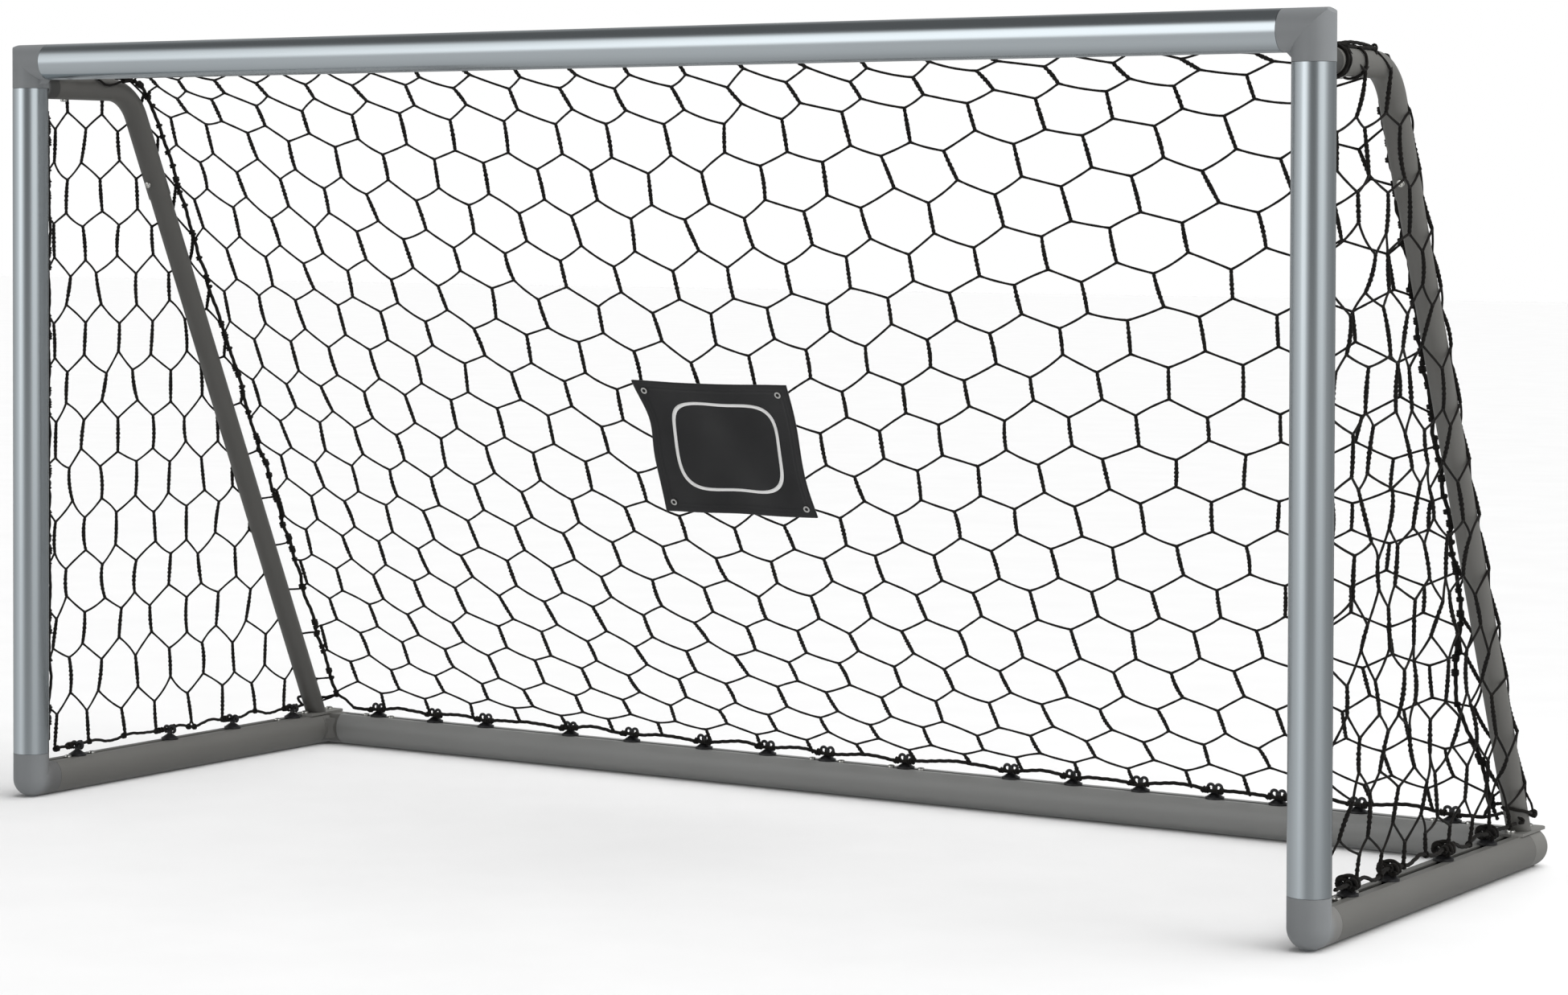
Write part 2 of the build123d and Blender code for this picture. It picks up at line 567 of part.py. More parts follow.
def make_banner():
    """A plain hung panel with four eyelets, on the pitch side of the back panel."""
    centre = Vector(BANNER_X, net_back_y(BANNER_X, BANNER_Z) - BANNER_GAP, BANNER_Z)
    lean = math.radians(BANNER_LEAN)
    place = Plane(origin=centre, x_dir=X, z_dir=Vector(0, -math.cos(lean), -math.sin(lean)))
    cloth = Box(BANNER_W, BANNER_H, 1.2)
    eyelets = []
    for u in (-1, 1):
        for v in (-1, 1):
            at = Pos(u * (BANNER_W / 2 - 17), v * (BANNER_H / 2 - 16), 0)
            cloth -= at * Cylinder(EYELET_HOLE_R + 1.0, 4)
            hole = Cylinder(EYELET_HOLE_R, 3)
            barrel = Cylinder(EYELET_HOLE_R + 0.8, 1.4) - hole
            flange = Cylinder(EYELET_R, 0.6) - hole
            eyelets.append(place.location * at * (barrel + Pos(0, 0, 0.92) * flange + Pos(0, 0, -0.92) * flange))
    write("net_banner", place.location * cloth)
    write_group("banner_eyelets", eyelets)


make_extrusions()
make_splices()
make_corners()
make_stays()
make_frame_screws()
make_clips()
make_hems()
make_seams()
make_lashings()
make_net()
make_banner()
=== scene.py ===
"""Soccer goal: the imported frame, its net, ropes and hung panel, a white studio and the camera."""

import math
import random

import bpy
import numpy as np
from mathutils import Matrix, Vector


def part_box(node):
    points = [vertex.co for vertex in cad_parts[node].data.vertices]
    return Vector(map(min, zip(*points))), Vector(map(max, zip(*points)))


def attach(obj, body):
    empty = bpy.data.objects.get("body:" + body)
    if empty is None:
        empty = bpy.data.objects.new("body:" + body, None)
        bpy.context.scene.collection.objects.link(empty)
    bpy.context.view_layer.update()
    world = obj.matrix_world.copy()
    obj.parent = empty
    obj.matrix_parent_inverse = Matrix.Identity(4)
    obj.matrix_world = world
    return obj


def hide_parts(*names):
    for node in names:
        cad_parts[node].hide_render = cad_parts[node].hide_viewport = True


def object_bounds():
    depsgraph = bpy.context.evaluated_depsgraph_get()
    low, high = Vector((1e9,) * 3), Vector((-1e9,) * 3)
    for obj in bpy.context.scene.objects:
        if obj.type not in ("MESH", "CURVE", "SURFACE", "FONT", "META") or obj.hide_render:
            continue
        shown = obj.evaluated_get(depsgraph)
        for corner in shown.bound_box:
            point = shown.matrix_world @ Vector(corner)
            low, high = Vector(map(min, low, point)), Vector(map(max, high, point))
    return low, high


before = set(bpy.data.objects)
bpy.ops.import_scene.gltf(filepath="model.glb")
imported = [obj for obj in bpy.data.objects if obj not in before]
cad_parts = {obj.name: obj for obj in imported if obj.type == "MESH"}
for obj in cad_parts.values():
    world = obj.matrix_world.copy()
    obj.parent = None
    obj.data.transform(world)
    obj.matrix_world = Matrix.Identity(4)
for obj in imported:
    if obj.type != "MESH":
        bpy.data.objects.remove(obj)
cad_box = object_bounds()

# ---------------------------------------------------------------- measures, in metres
WIDTH = float(cad_box[1].x - cad_box[0].x)
DEPTH = float(cad_box[1].y - cad_box[0].y)
HEIGHT = float(cad_box[1].z)
TUBE_R = 0.028
POST_X = WIDTH / 2 - TUBE_R
FRONT_Y = -(DEPTH / 2 - TUBE_R)
REAR_Y = DEPTH / 2 - TUBE_R
BAR_Z = HEIGHT - TUBE_R
FLAT = 0.023  # from a tube's axis to the flat that carries its clips
RAIL_TOP = TUBE_R + FLAT
POST_BACK = FRONT_Y + FLAT
UNDER_HORN = 0.0116  # a hem rope's height above the flat, beside the clips' stems
BESIDE_STEM = 0.00545  # from a clip's axis to a hem rope that passes its stem
HORN_OFFSET, HORN_Z = 0.0062, 0.0165  # middle of a clip's curl
STAY_R = 0.01825
STAY_Z = 1.1145  # height of a stay's level part
STAY_TURN = math.radians(65)  # from its level part to its long part
STAY_LEAN = math.radians(25)  # of its long part, from upright
STAY_BEND_R = 0.075
STAY_FOOT_Y, STAY_FOOT_Z = 0.347, 0.055
SEAM_FOOT_X, SEAM_TOP_X = POST_X - 0.040, POST_X - 0.0245
SEAM_FOOT_Z, SEAM_TOP_Z = 0.078, 1.09
NET_TOP_Y, NET_TOP_Z = -0.140, 1.125
NET_FOOT_Z = 0.062
NET_HALF_W = 1.040
SAG_TOP, SAG_BELLY, SAG_LOW = 0.144, 0.089, 0.026  # how far the back net hangs forward of its edges
ROPE_R = 0.0023
REAR_ROPE_R, RIGHT_ROPE_R = 0.0027, 0.0026  # the rear rail's and the right rail's heavier hem ropes
SEAM_R = 0.0028
TWINE_R = 0.00168  # a mesh's slanting sides, and other thin twine
PLY_R = 0.00222  # each of the two twisted twines of an upright bar
PLY_OFFSET = 0.00102  # from a bar's middle to a ply's
PLY_PITCH = 0.013

# where the clips sit along each tube, in millimetres, as in the CAD model
REAR_CLIPS = [-961, -841, -735, -563, -441, -301, -181, -71, 71, 255, 361, 473, 594, 695, 819, 961]
SIDE_CLIPS = {-1: [-271, -43, 120, 282], 1: [-258, -123, 66, 225]}
POST_CLIPS = {
    -1: [124, 268, 395, 496, 626, 734, 844, 954, 1039],
    1: [118, 262, 388, 505, 622, 739, 850, 948, 1042],
}
BAR_CLIPS = [-1010, -856, -712, -577, -430, -296, -148, -21, 123, 270, 409, 553, 690, 842, 1011]


# ---------------------------------------------------------------- materials
class Nodes:
    """A short way to build a node tree."""

    def __init__(self, tree):
        self.tree = tree
        self.tree.nodes.clear()

    def add(self, kind, **sockets):
        node = self.tree.nodes.new(kind)
        for name, value in sockets.items():
            if hasattr(node, name):
                setattr(node, name, value)
            else:
                node.inputs[name.replace("_", " ")].default_value = value
        return node

    def link(self, source, target):
        self.tree.links.new(source, target)


def noise_bump(nodes, coords, scale, strength, distance):
    """Fine grain, as a noise and the bump that it makes."""
    noise = nodes.add("ShaderNodeTexNoise", Scale=scale, Detail=3.0)
    nodes.link(coords, noise.inputs["Vector"])
    bump = nodes.add("ShaderNodeBump", Strength=strength, Distance=distance)
    nodes.link(noise.outputs["Fac"], bump.inputs["Height"])
    return noise, bump


def two_tones(nodes, drift, low, high):
    """A ramp from one tone to another over the middle of a drifting value. Gives its colour."""
    ramp = nodes.add("ShaderNodeValToRGB")
    for element, position, tone in zip(ramp.color_ramp.elements, (0.32, 0.68), (low, high)):
        element.position = position
        element.color = (*tone, 1)
    nodes.link(drift.outputs[0], ramp.inputs["Fac"])
    return ramp.outputs["Color"]


def painted_arm_shade(nodes, place, front, rear, start, full):
    """Blends the front colour into the rear one along Y, and gives the colour. The rear one is painted
    shade on a corner's arm.
    """
    axes = nodes.add("ShaderNodeSeparateXYZ")
    nodes.link(place.outputs["Object"], axes.inputs[0])
    share = nodes.add("ShaderNodeMapRange", interpolation_type="SMOOTHSTEP")
    share.inputs["From Min"].default_value = start
    share.inputs["From Max"].default_value = full
    nodes.link(axes.outputs["Y"], share.inputs["Value"])
    blend = nodes.add("ShaderNodeMix", data_type="RGBA")
    nodes.link(share.outputs["Result"], blend.inputs[0])
    nodes.link(front, blend.inputs[6])
    nodes.link(rear, blend.inputs[7])
    return blend.outputs[2]


MATERIALS = {}
FINE_SHARE, BROAD_SHARE = 0.45, 0.55  # of the grain and of the patches in a colour's drift


def material(name, low, high, roughness, metallic=0.0, specular=0.5, stretch=(1, 1, 1), grain=400.0,
             bump=0.15, depth=0.0002, patch=6.0, rough_spread=0.06, sheen=0.0, arm=None):
    """Adds a surface whose colour drifts between two tones, with its own grain and an uneven gloss.

    arm, if given, is a second, darker pair of tones, painted shade on a corner's arm to the rear, and where
    along Y it begins and has its full tone.
    """
    made = bpy.data.materials.new(name)
    made.use_nodes = True
    nodes = Nodes(made.node_tree)
    out = nodes.add("ShaderNodeOutputMaterial")
    shader = nodes.add("ShaderNodeBsdfPrincipled", Metallic=metallic)
    shader.inputs["Specular IOR Level"].default_value = specular
    shader.inputs["Sheen Weight"].default_value = sheen
    nodes.link(shader.outputs["BSDF"], out.inputs["Surface"])
    place = nodes.add("ShaderNodeTexCoord")
    mapping = nodes.add("ShaderNodeMapping")
    mapping.inputs["Scale"].default_value = stretch
    nodes.link(place.outputs["Object"], mapping.inputs["Vector"])
    fine, bumped = noise_bump(nodes, mapping.outputs["Vector"], grain, bump, depth)
    nodes.link(bumped.outputs["Normal"], shader.inputs["Normal"])
    broad = nodes.add("ShaderNodeTexNoise", Scale=patch, Detail=2.0)
    nodes.link(place.outputs["Object"], broad.inputs["Vector"])
    both = nodes.add("ShaderNodeMath", operation="MULTIPLY_ADD")
    both.inputs[1].default_value = FINE_SHARE
    nodes.link(fine.outputs["Fac"], both.inputs[0])
    patches = nodes.add("ShaderNodeMath", operation="MULTIPLY")
    patches.inputs[1].default_value = BROAD_SHARE
    nodes.link(broad.outputs["Fac"], patches.inputs[0])
    nodes.link(patches.outputs[0], both.inputs[2])
    colour = two_tones(nodes, both, low, high)
    if arm:
        shade_low, shade_high, start, full = arm
        colour = painted_arm_shade(nodes, place, colour, two_tones(nodes, both, shade_low, shade_high), start, full)
    nodes.link(colour, shader.inputs["Base Color"])
    spread = nodes.add("ShaderNodeMapRange")
    spread.inputs["To Min"].default_value = roughness - rough_spread
    spread.inputs["To Max"].default_value = roughness + rough_spread
    nodes.link(both.outputs[0], spread.inputs["Value"])
    nodes.link(spread.outputs["Result"], shader.inputs["Roughness"])
    MATERIALS[name] = made


def tube_metal(name, stretch):
    """Satin anodised extrusion: fine die lines along the tube, faintly blue."""
    material(name, (0.545, 0.590, 0.615), (0.575, 0.620, 0.645), 0.21, metallic=1.0, stretch=stretch,
             grain=60.0, bump=0.03, depth=0.0001, patch=3.0, rough_spread=0.03)


def satin_paint(name, low, high, roughness=0.42, specular=0.45):
    """Powder coat on the ground frame and the stays; its darker and lighter copies carry painted shade and
    painted light.
    """
    material(name, low, high, roughness, grain=900.0, bump=0.10, specular=specular)


def moulding(name, low, high, start, full):
    """Satin moulded corner, cool grey in front. Its arm to the rear gets a darker tone of painted shade,
    set for each corner.
    """
    material(name, (0.211, 0.222, 0.229), (0.234, 0.245, 0.253), 0.44, grain=1400.0, bump=0.10,
             arm=(low, high, FRONT_Y + start, FRONT_Y + full))


tube_metal("upright_metal", (40, 40, 0.5))
tube_metal("bar_metal", (0.5, 40, 40))
satin_paint("grey_tube", (0.160, 0.158, 0.148), (0.182, 0.180, 0.168))
# painted shade: a darker copy of grey_tube for the right stay, the stay bends, the side rails and the rear
# left corner
satin_paint("painted_shade_tube", (0.121, 0.119, 0.111), (0.139, 0.137, 0.128), specular=0.40)
# painted light: a lighter copy of grey_tube for the rear rail
satin_paint("painted_light_rear_tube", (0.232, 0.234, 0.228), (0.258, 0.260, 0.254), 0.40)
# painted shade: the darkest copy of grey_tube, for the left stay
satin_paint("shaded_tube", (0.091, 0.089, 0.083), (0.104, 0.102, 0.095), specular=0.40)
# the rear arms' darker tones are painted shade, darkest on the top corners' stubs beside the stays
moulding("top_moulding", (0.046, 0.046, 0.044), (0.056, 0.056, 0.053), 0.018, 0.030)
moulding("left_moulding", (0.108, 0.109, 0.108), (0.122, 0.123, 0.122), -0.010, 0.024)
moulding("right_moulding", (0.172, 0.170, 0.163), (0.192, 0.189, 0.181), 0.000, 0.026)
material("sleeve", (0.02, 0.02, 0.02), (0.03, 0.03, 0.03), 0.6, depth=0.0004)
material("zinc", (0.72, 0.71, 0.66), (0.84, 0.83, 0.80), 0.24, metallic=1.0, grain=700.0, bump=0.08)
material("clip_plastic", (0.010, 0.010, 0.011), (0.020, 0.020, 0.022), 0.36, grain=1200.0, bump=0.12)
material("twine", (0.004, 0.0036, 0.003), (0.012, 0.010, 0.0085), 0.82, grain=1800.0, bump=0.5,
         depth=0.0005, specular=0.25, sheen=0.04, patch=25.0)
material("cloth", (0.006, 0.006, 0.007), (0.014, 0.014, 0.015), 0.76, grain=900.0, bump=0.25,
         depth=0.0003, specular=0.35, sheen=0.25, patch=18.0)
material("print", (0.80, 0.80, 0.79), (0.88, 0.88, 0.87), 0.55, grain=900.0, bump=0.2, specular=0.4)
material("eyelet", (0.55, 0.54, 0.52), (0.70, 0.69, 0.67), 0.28, metallic=1.0, grain=900.0, bump=0.06)


def paint(node, key):
    """Gives a CAD node one of the materials."""
    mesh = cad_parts[node].data
    mesh.materials.clear()
    mesh.materials.append(MATERIALS[key])


def node_finish(node):
    """Which material a CAD node gets."""
    if node.endswith("_post"):
        return "upright_metal"
    if node in ("crossbar_left", "crossbar_right"):
        return "bar_metal"
    if "screws" in node or "bolts" in node:
        return "zinc"
    if node.endswith("splice"):
        return "sleeve"
    if node.endswith("clips"):
        return "clip_plastic"
    if node == "banner_eyelets":
        return "eyelet"
    if node.startswith("top_"):
        return "top_moulding"
    if node.startswith("bottom_"):
        return node.split("_")[1] + "_moulding"
    if node.startswith("net_") or any(word in node for word in ("rope", "seam", "lashing")):
        return "twine"
    # painted light: the rear rail takes a lighter copy of the grey
    if node.startswith("rear_ground_rail"):
        return "painted_light_rear_tube"
    # painted shade: the left stay and its bend take the darkest copy of the grey
    if node in ("left_stay", "left_stay_bend"):
        return "shaded_tube"
    # painted shade: these parts take the darker copy of the grey
    dark = node.endswith(("_stay", "_stay_bend", "_ground_rail")) or node == "rear_left_corner"
    return "painted_shade_tube" if dark else "grey_tube"


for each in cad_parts:
    paint(each, node_finish(each))


# ---------------------------------------------------------------- strands
def along(points):
    """Distance along a line of points."""
    steps = np.linalg.norm(np.diff(points, axis=0), axis=1)
    return np.concatenate([[0.0], np.cumsum(steps)])


def smooth_line(points, step):
    """A Catmull-Rom line through the points, with a point about every step."""
    p = np.array(points, float)
    p = np.vstack([2 * p[0] - p[1], p, 2 * p[-1] - p[-2]])
    out = []
    for i in range(1, len(p) - 2):
        count = max(2, int(np.linalg.norm(p[i + 1] - p[i]) / step))
        t = np.linspace(0, 1, count, endpoint=False)[:, None]
        a, b, c, d = p[i - 1], p[i], p[i + 1], p[i + 2]
        square, cube = 2 * a - 5 * b + 4 * c - d, 3 * b - a - 3 * c + d
        out.append(0.5 * (2 * b + (c - a) * t + square * t**2 + cube * t**3))
    out.append(p[-2][None])
    return np.vstack(out)


def placed(name, data):
    """An object of the scene."""
    made = bpy.data.objects.new(name, data)
    bpy.context.scene.collection.objects.link(made)
    return made


def mesh_piece(name, verts, faces, key, slot, replaced=()):
    """Makes a smooth-shaded piece that rides on the frame."""
    mesh = bpy.data.meshes.new(name)
    mesh.from_pydata(np.asarray(verts).tolist(), [], faces)
    mesh.polygons.foreach_set("use_smooth", [True] * len(mesh.polygons))
    mesh.materials.append(MATERIALS[key])
    made = placed(name, mesh)
    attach(made, "root")
    if replaced:
        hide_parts(*replaced)
    return made


KNOT_REACH = 0.0035  # how far a knot's swelling runs along a cord


class Strands:
    """Collects twisted cords into one mesh."""

    def __init__(self):
        self.verts, self.faces, self.count = [], [], 0

    def cord(self, points, radius, sides=8, lobes=0, depth=0.0, pitch=0.02, swell=0.0):
        """A closed tube along points. Its lobes wind round it, and swell thickens its ends as knots do."""
        p = np.asarray(points, float)
        tangent = np.gradient(p, axis=0)
        tangent /= np.linalg.norm(tangent, axis=1)[:, None]
        start = np.array([0.0, 0.0, 1.0]) if abs(tangent[0][2]) < 0.8 else np.array([1.0, 0.0, 0.0])
        normals = []
        for t in tangent:
            start = start - t * (start @ t)
            start = start / np.linalg.norm(start)
            normals.append(start)
        normal = np.array(normals)
        side = np.cross(tangent, normal)
        s = along(p)
        angle = 2 * math.pi * np.arange(sides) / sides
        wind = 1 + depth * np.cos(lobes * angle[None, :] - 2 * math.pi * s[:, None] / pitch)
        ends = np.exp(-((s / KNOT_REACH) ** 2)) + np.exp(-(((s[-1] - s) / KNOT_REACH) ** 2))
        r = radius * wind * (1 + swell * ends[:, None])
        ring = p[:, None] + r[..., None] * (
            np.cos(angle)[None, :, None] * normal[:, None] + np.sin(angle)[None, :, None] * side[:, None]
        )
        n = len(p)
        cap = radius * 0.7 * (1 + swell)
        poles = [p[0] - tangent[0] * cap, p[-1] + tangent[-1] * cap]
        base = self.count
        self.verts.append(np.vstack([ring.reshape(-1, 3), poles]))
        for i in range(n - 1):
            for k in range(sides):
                a, b = base + i * sides + k, base + i * sides + (k + 1) % sides
                self.faces.append((a, b, b + sides, a + sides))
        first, last = base + n * sides, base + n * sides + 1
        for k in range(sides):
            self.faces.append((base + (k + 1) % sides, base + k, first))
            top = base + (n - 1) * sides
            self.faces.append((top + k, top + (k + 1) % sides, last))
        self.count += n * sides + 2

    def piece(self, name, *replaced):
        """Makes the cords one piece, which stands for the CAD nodes in replaced."""
        return mesh_piece(name, np.vstack(self.verts), self.faces, "twine", "black_twine", replaced)


def rope(strands, points, radius=ROPE_R, step=0.0028):
    """A three-strand rope through the points."""
    strands.cord(smooth_line(points, step), radius, sides=12, lobes=3, depth=0.13, pitch=0.016)


def twisted(strands, line, draw):
    """Two twines twisted round each other along a line."""
    tangent = line[-1] - line[0]
    tangent = tangent / np.linalg.norm(tangent)
    u = np.cross(tangent, [0.31, 0.92, 0.17])
    u /= np.linalg.norm(u)
    v = np.cross(tangent, u)
    s = along(line)
    apart = PLY_OFFSET * draw.uniform(0.85, 1.25) * (1 - 0.35 * np.cos(2 * math.pi * s / s[-1]))
    first = draw.uniform(0, math.pi)
    for ply in (0, math.pi):
        turn = first + ply + 2 * math.pi * s / PLY_PITCH
        aside = np.cos(turn)[:, None] * u + np.sin(turn)[:, None] * v
        strands.cord(line + apart[:, None] * aside, PLY_R, sides=6)


def knot(strands, at, axis, size, turns=2, thick=ROPE_R * 0.9):
    """A few tight turns of cord round an axis, as where a rope is hitched."""
    axis = np.array(axis, float)
    axis /= np.linalg.norm(axis)
    u = np.cross(axis, [0.3, 0.5, 0.81])
    u /= np.linalg.norm(u)
    v = np.cross(axis, u)
    t = np.linspace(0, turns * 2 * math.pi, int(12 * turns))
    rise = (t / t[-1] - 0.5) * thick * 2.1 * turns
    r = size * (1 + 0.12 * np.sin(3 * t))
    round_axis = np.cos(t)[:, None] * u + np.sin(t)[:, None] * v
    strands.cord(np.array(at) + r[:, None] * round_axis + rise[:, None] * axis, thick, sides=7)


# ---------------------------------------------------------------- the stays, which carry the net's edges
def stay_axis_y(z):
    """Where the axis of a stay's long part is at a height."""
    return STAY_FOOT_Y - (z - STAY_FOOT_Z) * math.tan(STAY_LEAN)


BEND_START_Y = stay_axis_y(STAY_Z) - STAY_BEND_R * math.tan(STAY_TURN / 2)
BEND_CENTRE = (BEND_START_Y, STAY_Z - STAY_BEND_R)
SKIN = STAY_R + 0.0020  # from a stay's axis to the middle of the twine that lies on it
WRAP = SKIN * math.pi / 2


# ---------------------------------------------------------------- the back net's shape
def net_edge_y(z):
    """Where the back net is at both of its edges: on a straight line down to the rear rail."""
    return NET_TOP_Y + (NET_TOP_Z - z) * (REAR_Y - NET_TOP_Y) / (NET_TOP_Z - NET_FOOT_Z)


def net_back_y(x, z):
    """The hanging back net, which nothing holds between its two edges."""
    t = (z - NET_FOOT_Z) / (NET_TOP_Z - NET_FOOT_Z)
    spread = 1 - min(abs(x) / NET_HALF_W, 1.0) ** 2.5
    sag = SAG_TOP * t + SAG_BELLY * math.sin(math.pi * t) + SAG_LOW * math.sin(2 * math.pi * t)
    return net_edge_y(z) - spread * sag


def hem_wave(stations, at, high, seed):
    """How far a hem rope lifts off the line through its clips: nothing at a clip, unevenly between them."""
    draw = random.Random(seed)
    past_end, long_gap = 0.06, 0.12
    knots, lifts = [stations[0] - past_end], [0.0]
    for a, b in zip(stations[:-1], stations[1:]):
        knots += [a, a + (b - a) * draw.uniform(0.35, 0.65)]
        lifts += [0.0, high * draw.uniform(0.4, 1.0) * min(1.0, (b - a) / long_gap)]
    knots += [stations[-1], stations[-1] + past_end]
    lifts += [0.0, 0.0]
    return float(np.interp(at, knots, lifts))


def metres(stations):
    return [s / 1000 for s in stations]


# where each hem rope runs, by the place along its tube
def rear_hem(x):
    lift = hem_wave(metres(REAR_CLIPS), x, 0.010, 3)
    return np.array([x, REAR_Y - BESIDE_STEM - 0.3 * lift, RAIL_TOP + UNDER_HORN + lift])


def bar_hem(x):
    lift = hem_wave(metres(BAR_CLIPS), x, 0.006, 4)
    return np.array([x, POST_BACK + UNDER_HORN + 0.5 * lift, BAR_Z - BESIDE_STEM - lift])


def rail_hem(s, y):
    lift = hem_wave(metres(SIDE_CLIPS[s]), y, 0.009, 5 + s)
    return np.array([s * (POST_X + HORN_OFFSET), y, RAIL_TOP + HORN_Z - lift * math.sin(60 * y)])


def post_hem(s, z):
    lift = hem_wave(metres(POST_CLIPS[s]), z, 0.006, 9 + s)
    return np.array([s * (POST_X - BESIDE_STEM), POST_BACK + UNDER_HORN + lift, z])


# Rows are counted down from the crossbar and columns to the right. Each row's bars stand half a mesh aside
# from the next row's. The lists give the rows' heights in the middle of the goal, and how much higher they
# hang at LIFT_MID_X and at LIFT_EDGE_X from there.
ROWS_END = 19.65
COLUMN_W = 0.0474
COLUMN_ORIGIN_X = 0.145
BAR_SHARE = 0.65  # the upright bar's share of a row
ROW_KEYS = [2, 3, 4, 6, 8, 10, 12, 14, 16, 18, 20]
ROW_Z = [1.091, 1.049, 0.987, 0.848, 0.715, 0.580, 0.459, 0.347, 0.235, 0.131, 0.045]
ROW_LIFT_MID = [0.014, 0.024, 0.034, 0.044, 0.053, 0.059, 0.048, 0.029, 0.014, 0.004, 0.000]
ROW_LIFT_EDGE = [0.036, 0.060, 0.084, 0.086, 0.067, 0.052, 0.048, 0.038, 0.033, 0.018, 0.000]
LIFT_MID_X, LIFT_EDGE_X = 0.57, 0.99


def row_height(x, row):
    """Where a row hangs: lowest in the middle of the goal, higher toward both seams."""
    at = abs(x + 0.04)
    mid, edge = np.interp(row, ROW_KEYS, ROW_LIFT_MID), np.interp(row, ROW_KEYS, ROW_LIFT_EDGE)
    bend = (edge / LIFT_EDGE_X - mid / LIFT_MID_X) / (LIFT_EDGE_X - LIFT_MID_X)
    slope = mid / LIFT_MID_X - bend * LIFT_MID_X
    return np.interp(row, ROW_KEYS, ROW_Z) + max(0.0, slope * at + bend * at * at)


def sway(x, row):
    """How far the hanging net strays from straight columns and rows: sideways and upwards."""
    down = min(max((row - 1) / 19, 0.0), 1.0)
    once, twice = math.sin(math.pi * down), math.sin(2 * math.pi * down)
    across = once * (0.0193 + 0.0305 * x + 0.0058 * x * x) + twice * (0.0071 + 0.0290 * x + 0.0096 * x * x)
    lift = once * (-0.0141 + 0.0079 * x + 0.0264 * x * x) - twice * (0.0017 + 0.0045 * x - 0.0019 * x * x)
    return across - 0.0056 - 0.0082 * x, lift - 0.0009


# How the net falls away behind the crossbar: rows, their place in the middle of the goal, and how far
# they are from that at ROOF_SPAN to the left and to the right.
ROOF_ROWS = [0.0, 1.0, 1.65, 2.0, 2.65, 3.0, 3.65, 4.0, 4.65, 5.0]
ROOF_Y = [-0.353, -0.317, -0.298, -0.268, -0.234, -0.204, -0.187, -0.177, -0.163, -0.147]
ROOF_Z = [1.1466, 1.133, 1.116, 1.097, 1.069, 1.052, 1.007, 0.981, 0.937, 0.908]
ROOF_LEFT_Y = [0.0, 0.004, 0.008, -0.004, -0.010, -0.012, -0.008, -0.009, -0.010, -0.016]
ROOF_LEFT_Z = [0.0, 0.006, 0.018, 0.016, 0.022, 0.026, 0.038, 0.042, 0.044, 0.048]
ROOF_RIGHT_Y = [0.0, 0.020, 0.038, 0.048, 0.054, 0.058, 0.067, 0.073, 0.081, 0.082]
ROOF_RIGHT_Z = [0.0, 0.006, 0.014, 0.019, 0.027, 0.033, 0.043, 0.046, 0.050, 0.053]
ROOF_SPAN = 0.61
ROOF_DRIFT = 1.414  # how far the upper rows come forward for each metre that they sway to the right
ROOF_END, ROOF_BLEND_Z, ROOF_BLEND_Y = 2.65, 0.7, 2.5  # its last row, and rows over which it blends out


def ease(value):
    """A smooth step from 0 to 1."""
    value = min(max(value, 0.0), 1.0)
    return value * value * (3 - 2 * value)


def roof_place(x, row):
    """Depth and height of the net's upper rows."""
    away = (abs(x) / ROOF_SPAN) ** 1.6
    out_y, out_z = (ROOF_LEFT_Y, ROOF_LEFT_Z) if x < 0 else (ROOF_RIGHT_Y, ROOF_RIGHT_Z)
    y = np.interp(row, ROOF_ROWS, ROOF_Y) + away * np.interp(row, ROOF_ROWS, out_y)
    z = np.interp(row, ROOF_ROWS, ROOF_Z) + away * np.interp(row, ROOF_ROWS, out_z)
    z = min(z, STAY_Z + STAY_R + 0.004 + 0.012 * max(0.0, 1 - row))
    edge = min(abs(x) / NET_HALF_W, 1.0) ** 8 * min(row / 2, 1.0)
    return y * (1 - edge) + net_edge_y(z) * edge, z


def main_net_point(column, row):
    """A point of the net that runs from the crossbar over the bends and down the back."""
    straight_x = COLUMN_ORIGIN_X + COLUMN_W * column
    across, lift = sway(straight_x, row)
    x = straight_x + across
    if row > ROWS_END - 0.02:
        return rear_hem(x)
    if row < 0.02:
        return bar_hem(x)
    roof_y, roof_z = roof_place(straight_x, row)
    roof_y -= ROOF_DRIFT * (across - sway(straight_x, 1)[0])
    z = roof_z + (row_height(straight_x, row) + lift - roof_z) * ease((row - ROOF_END) / ROOF_BLEND_Z)
    y = roof_y + (net_back_y(x, z) - roof_y) * ease((row - ROOF_END) / ROOF_BLEND_Y)
    return np.array([x, y, z])


def hex_edges(rows, columns):
    """The bars of a hexagon lattice: (column, row) pairs at both ends, and whether the bar is doubled."""
    for row in range(-1, rows + 1):
        for column in range(*columns):
            if (row + column) % 2:
                continue
            foot = (column, row + BAR_SHARE)
            yield (column, row), foot, True
            yield foot, (column - 1, row + 1), False
            yield foot, (column + 1, row + 1), False


# how far the right seam hangs in, at what height, and how far up and down from there
SEAM_BOW, SEAM_BOW_Z, SEAM_BOW_REACH = 0.030, 0.235, 0.085


def seam_x(s, z):
    """Each seam leans away from its stay on the way down, and the right one hangs in near its foot."""
    bow = SEAM_BOW * math.exp(-(((z - SEAM_BOW_Z) / SEAM_BOW_REACH) ** 2)) if s > 0 else 0.0
    return np.interp(z, (SEAM_FOOT_Z, SEAM_TOP_Z), (SEAM_FOOT_X, SEAM_TOP_X)) - bow


LEVEL_SHARE, BEND_SHARE = 0.16, 0.22  # where along a seam the stay's level part and its bend end
SEAM_POINTS = 60


def bend_point(normal):
    """The point of a stay's bend, on its centre line, whose outward normal is given."""
    return BEND_CENTRE[0] + STAY_BEND_R * normal[0], BEND_CENTRE[1] + STAY_BEND_R * normal[1]


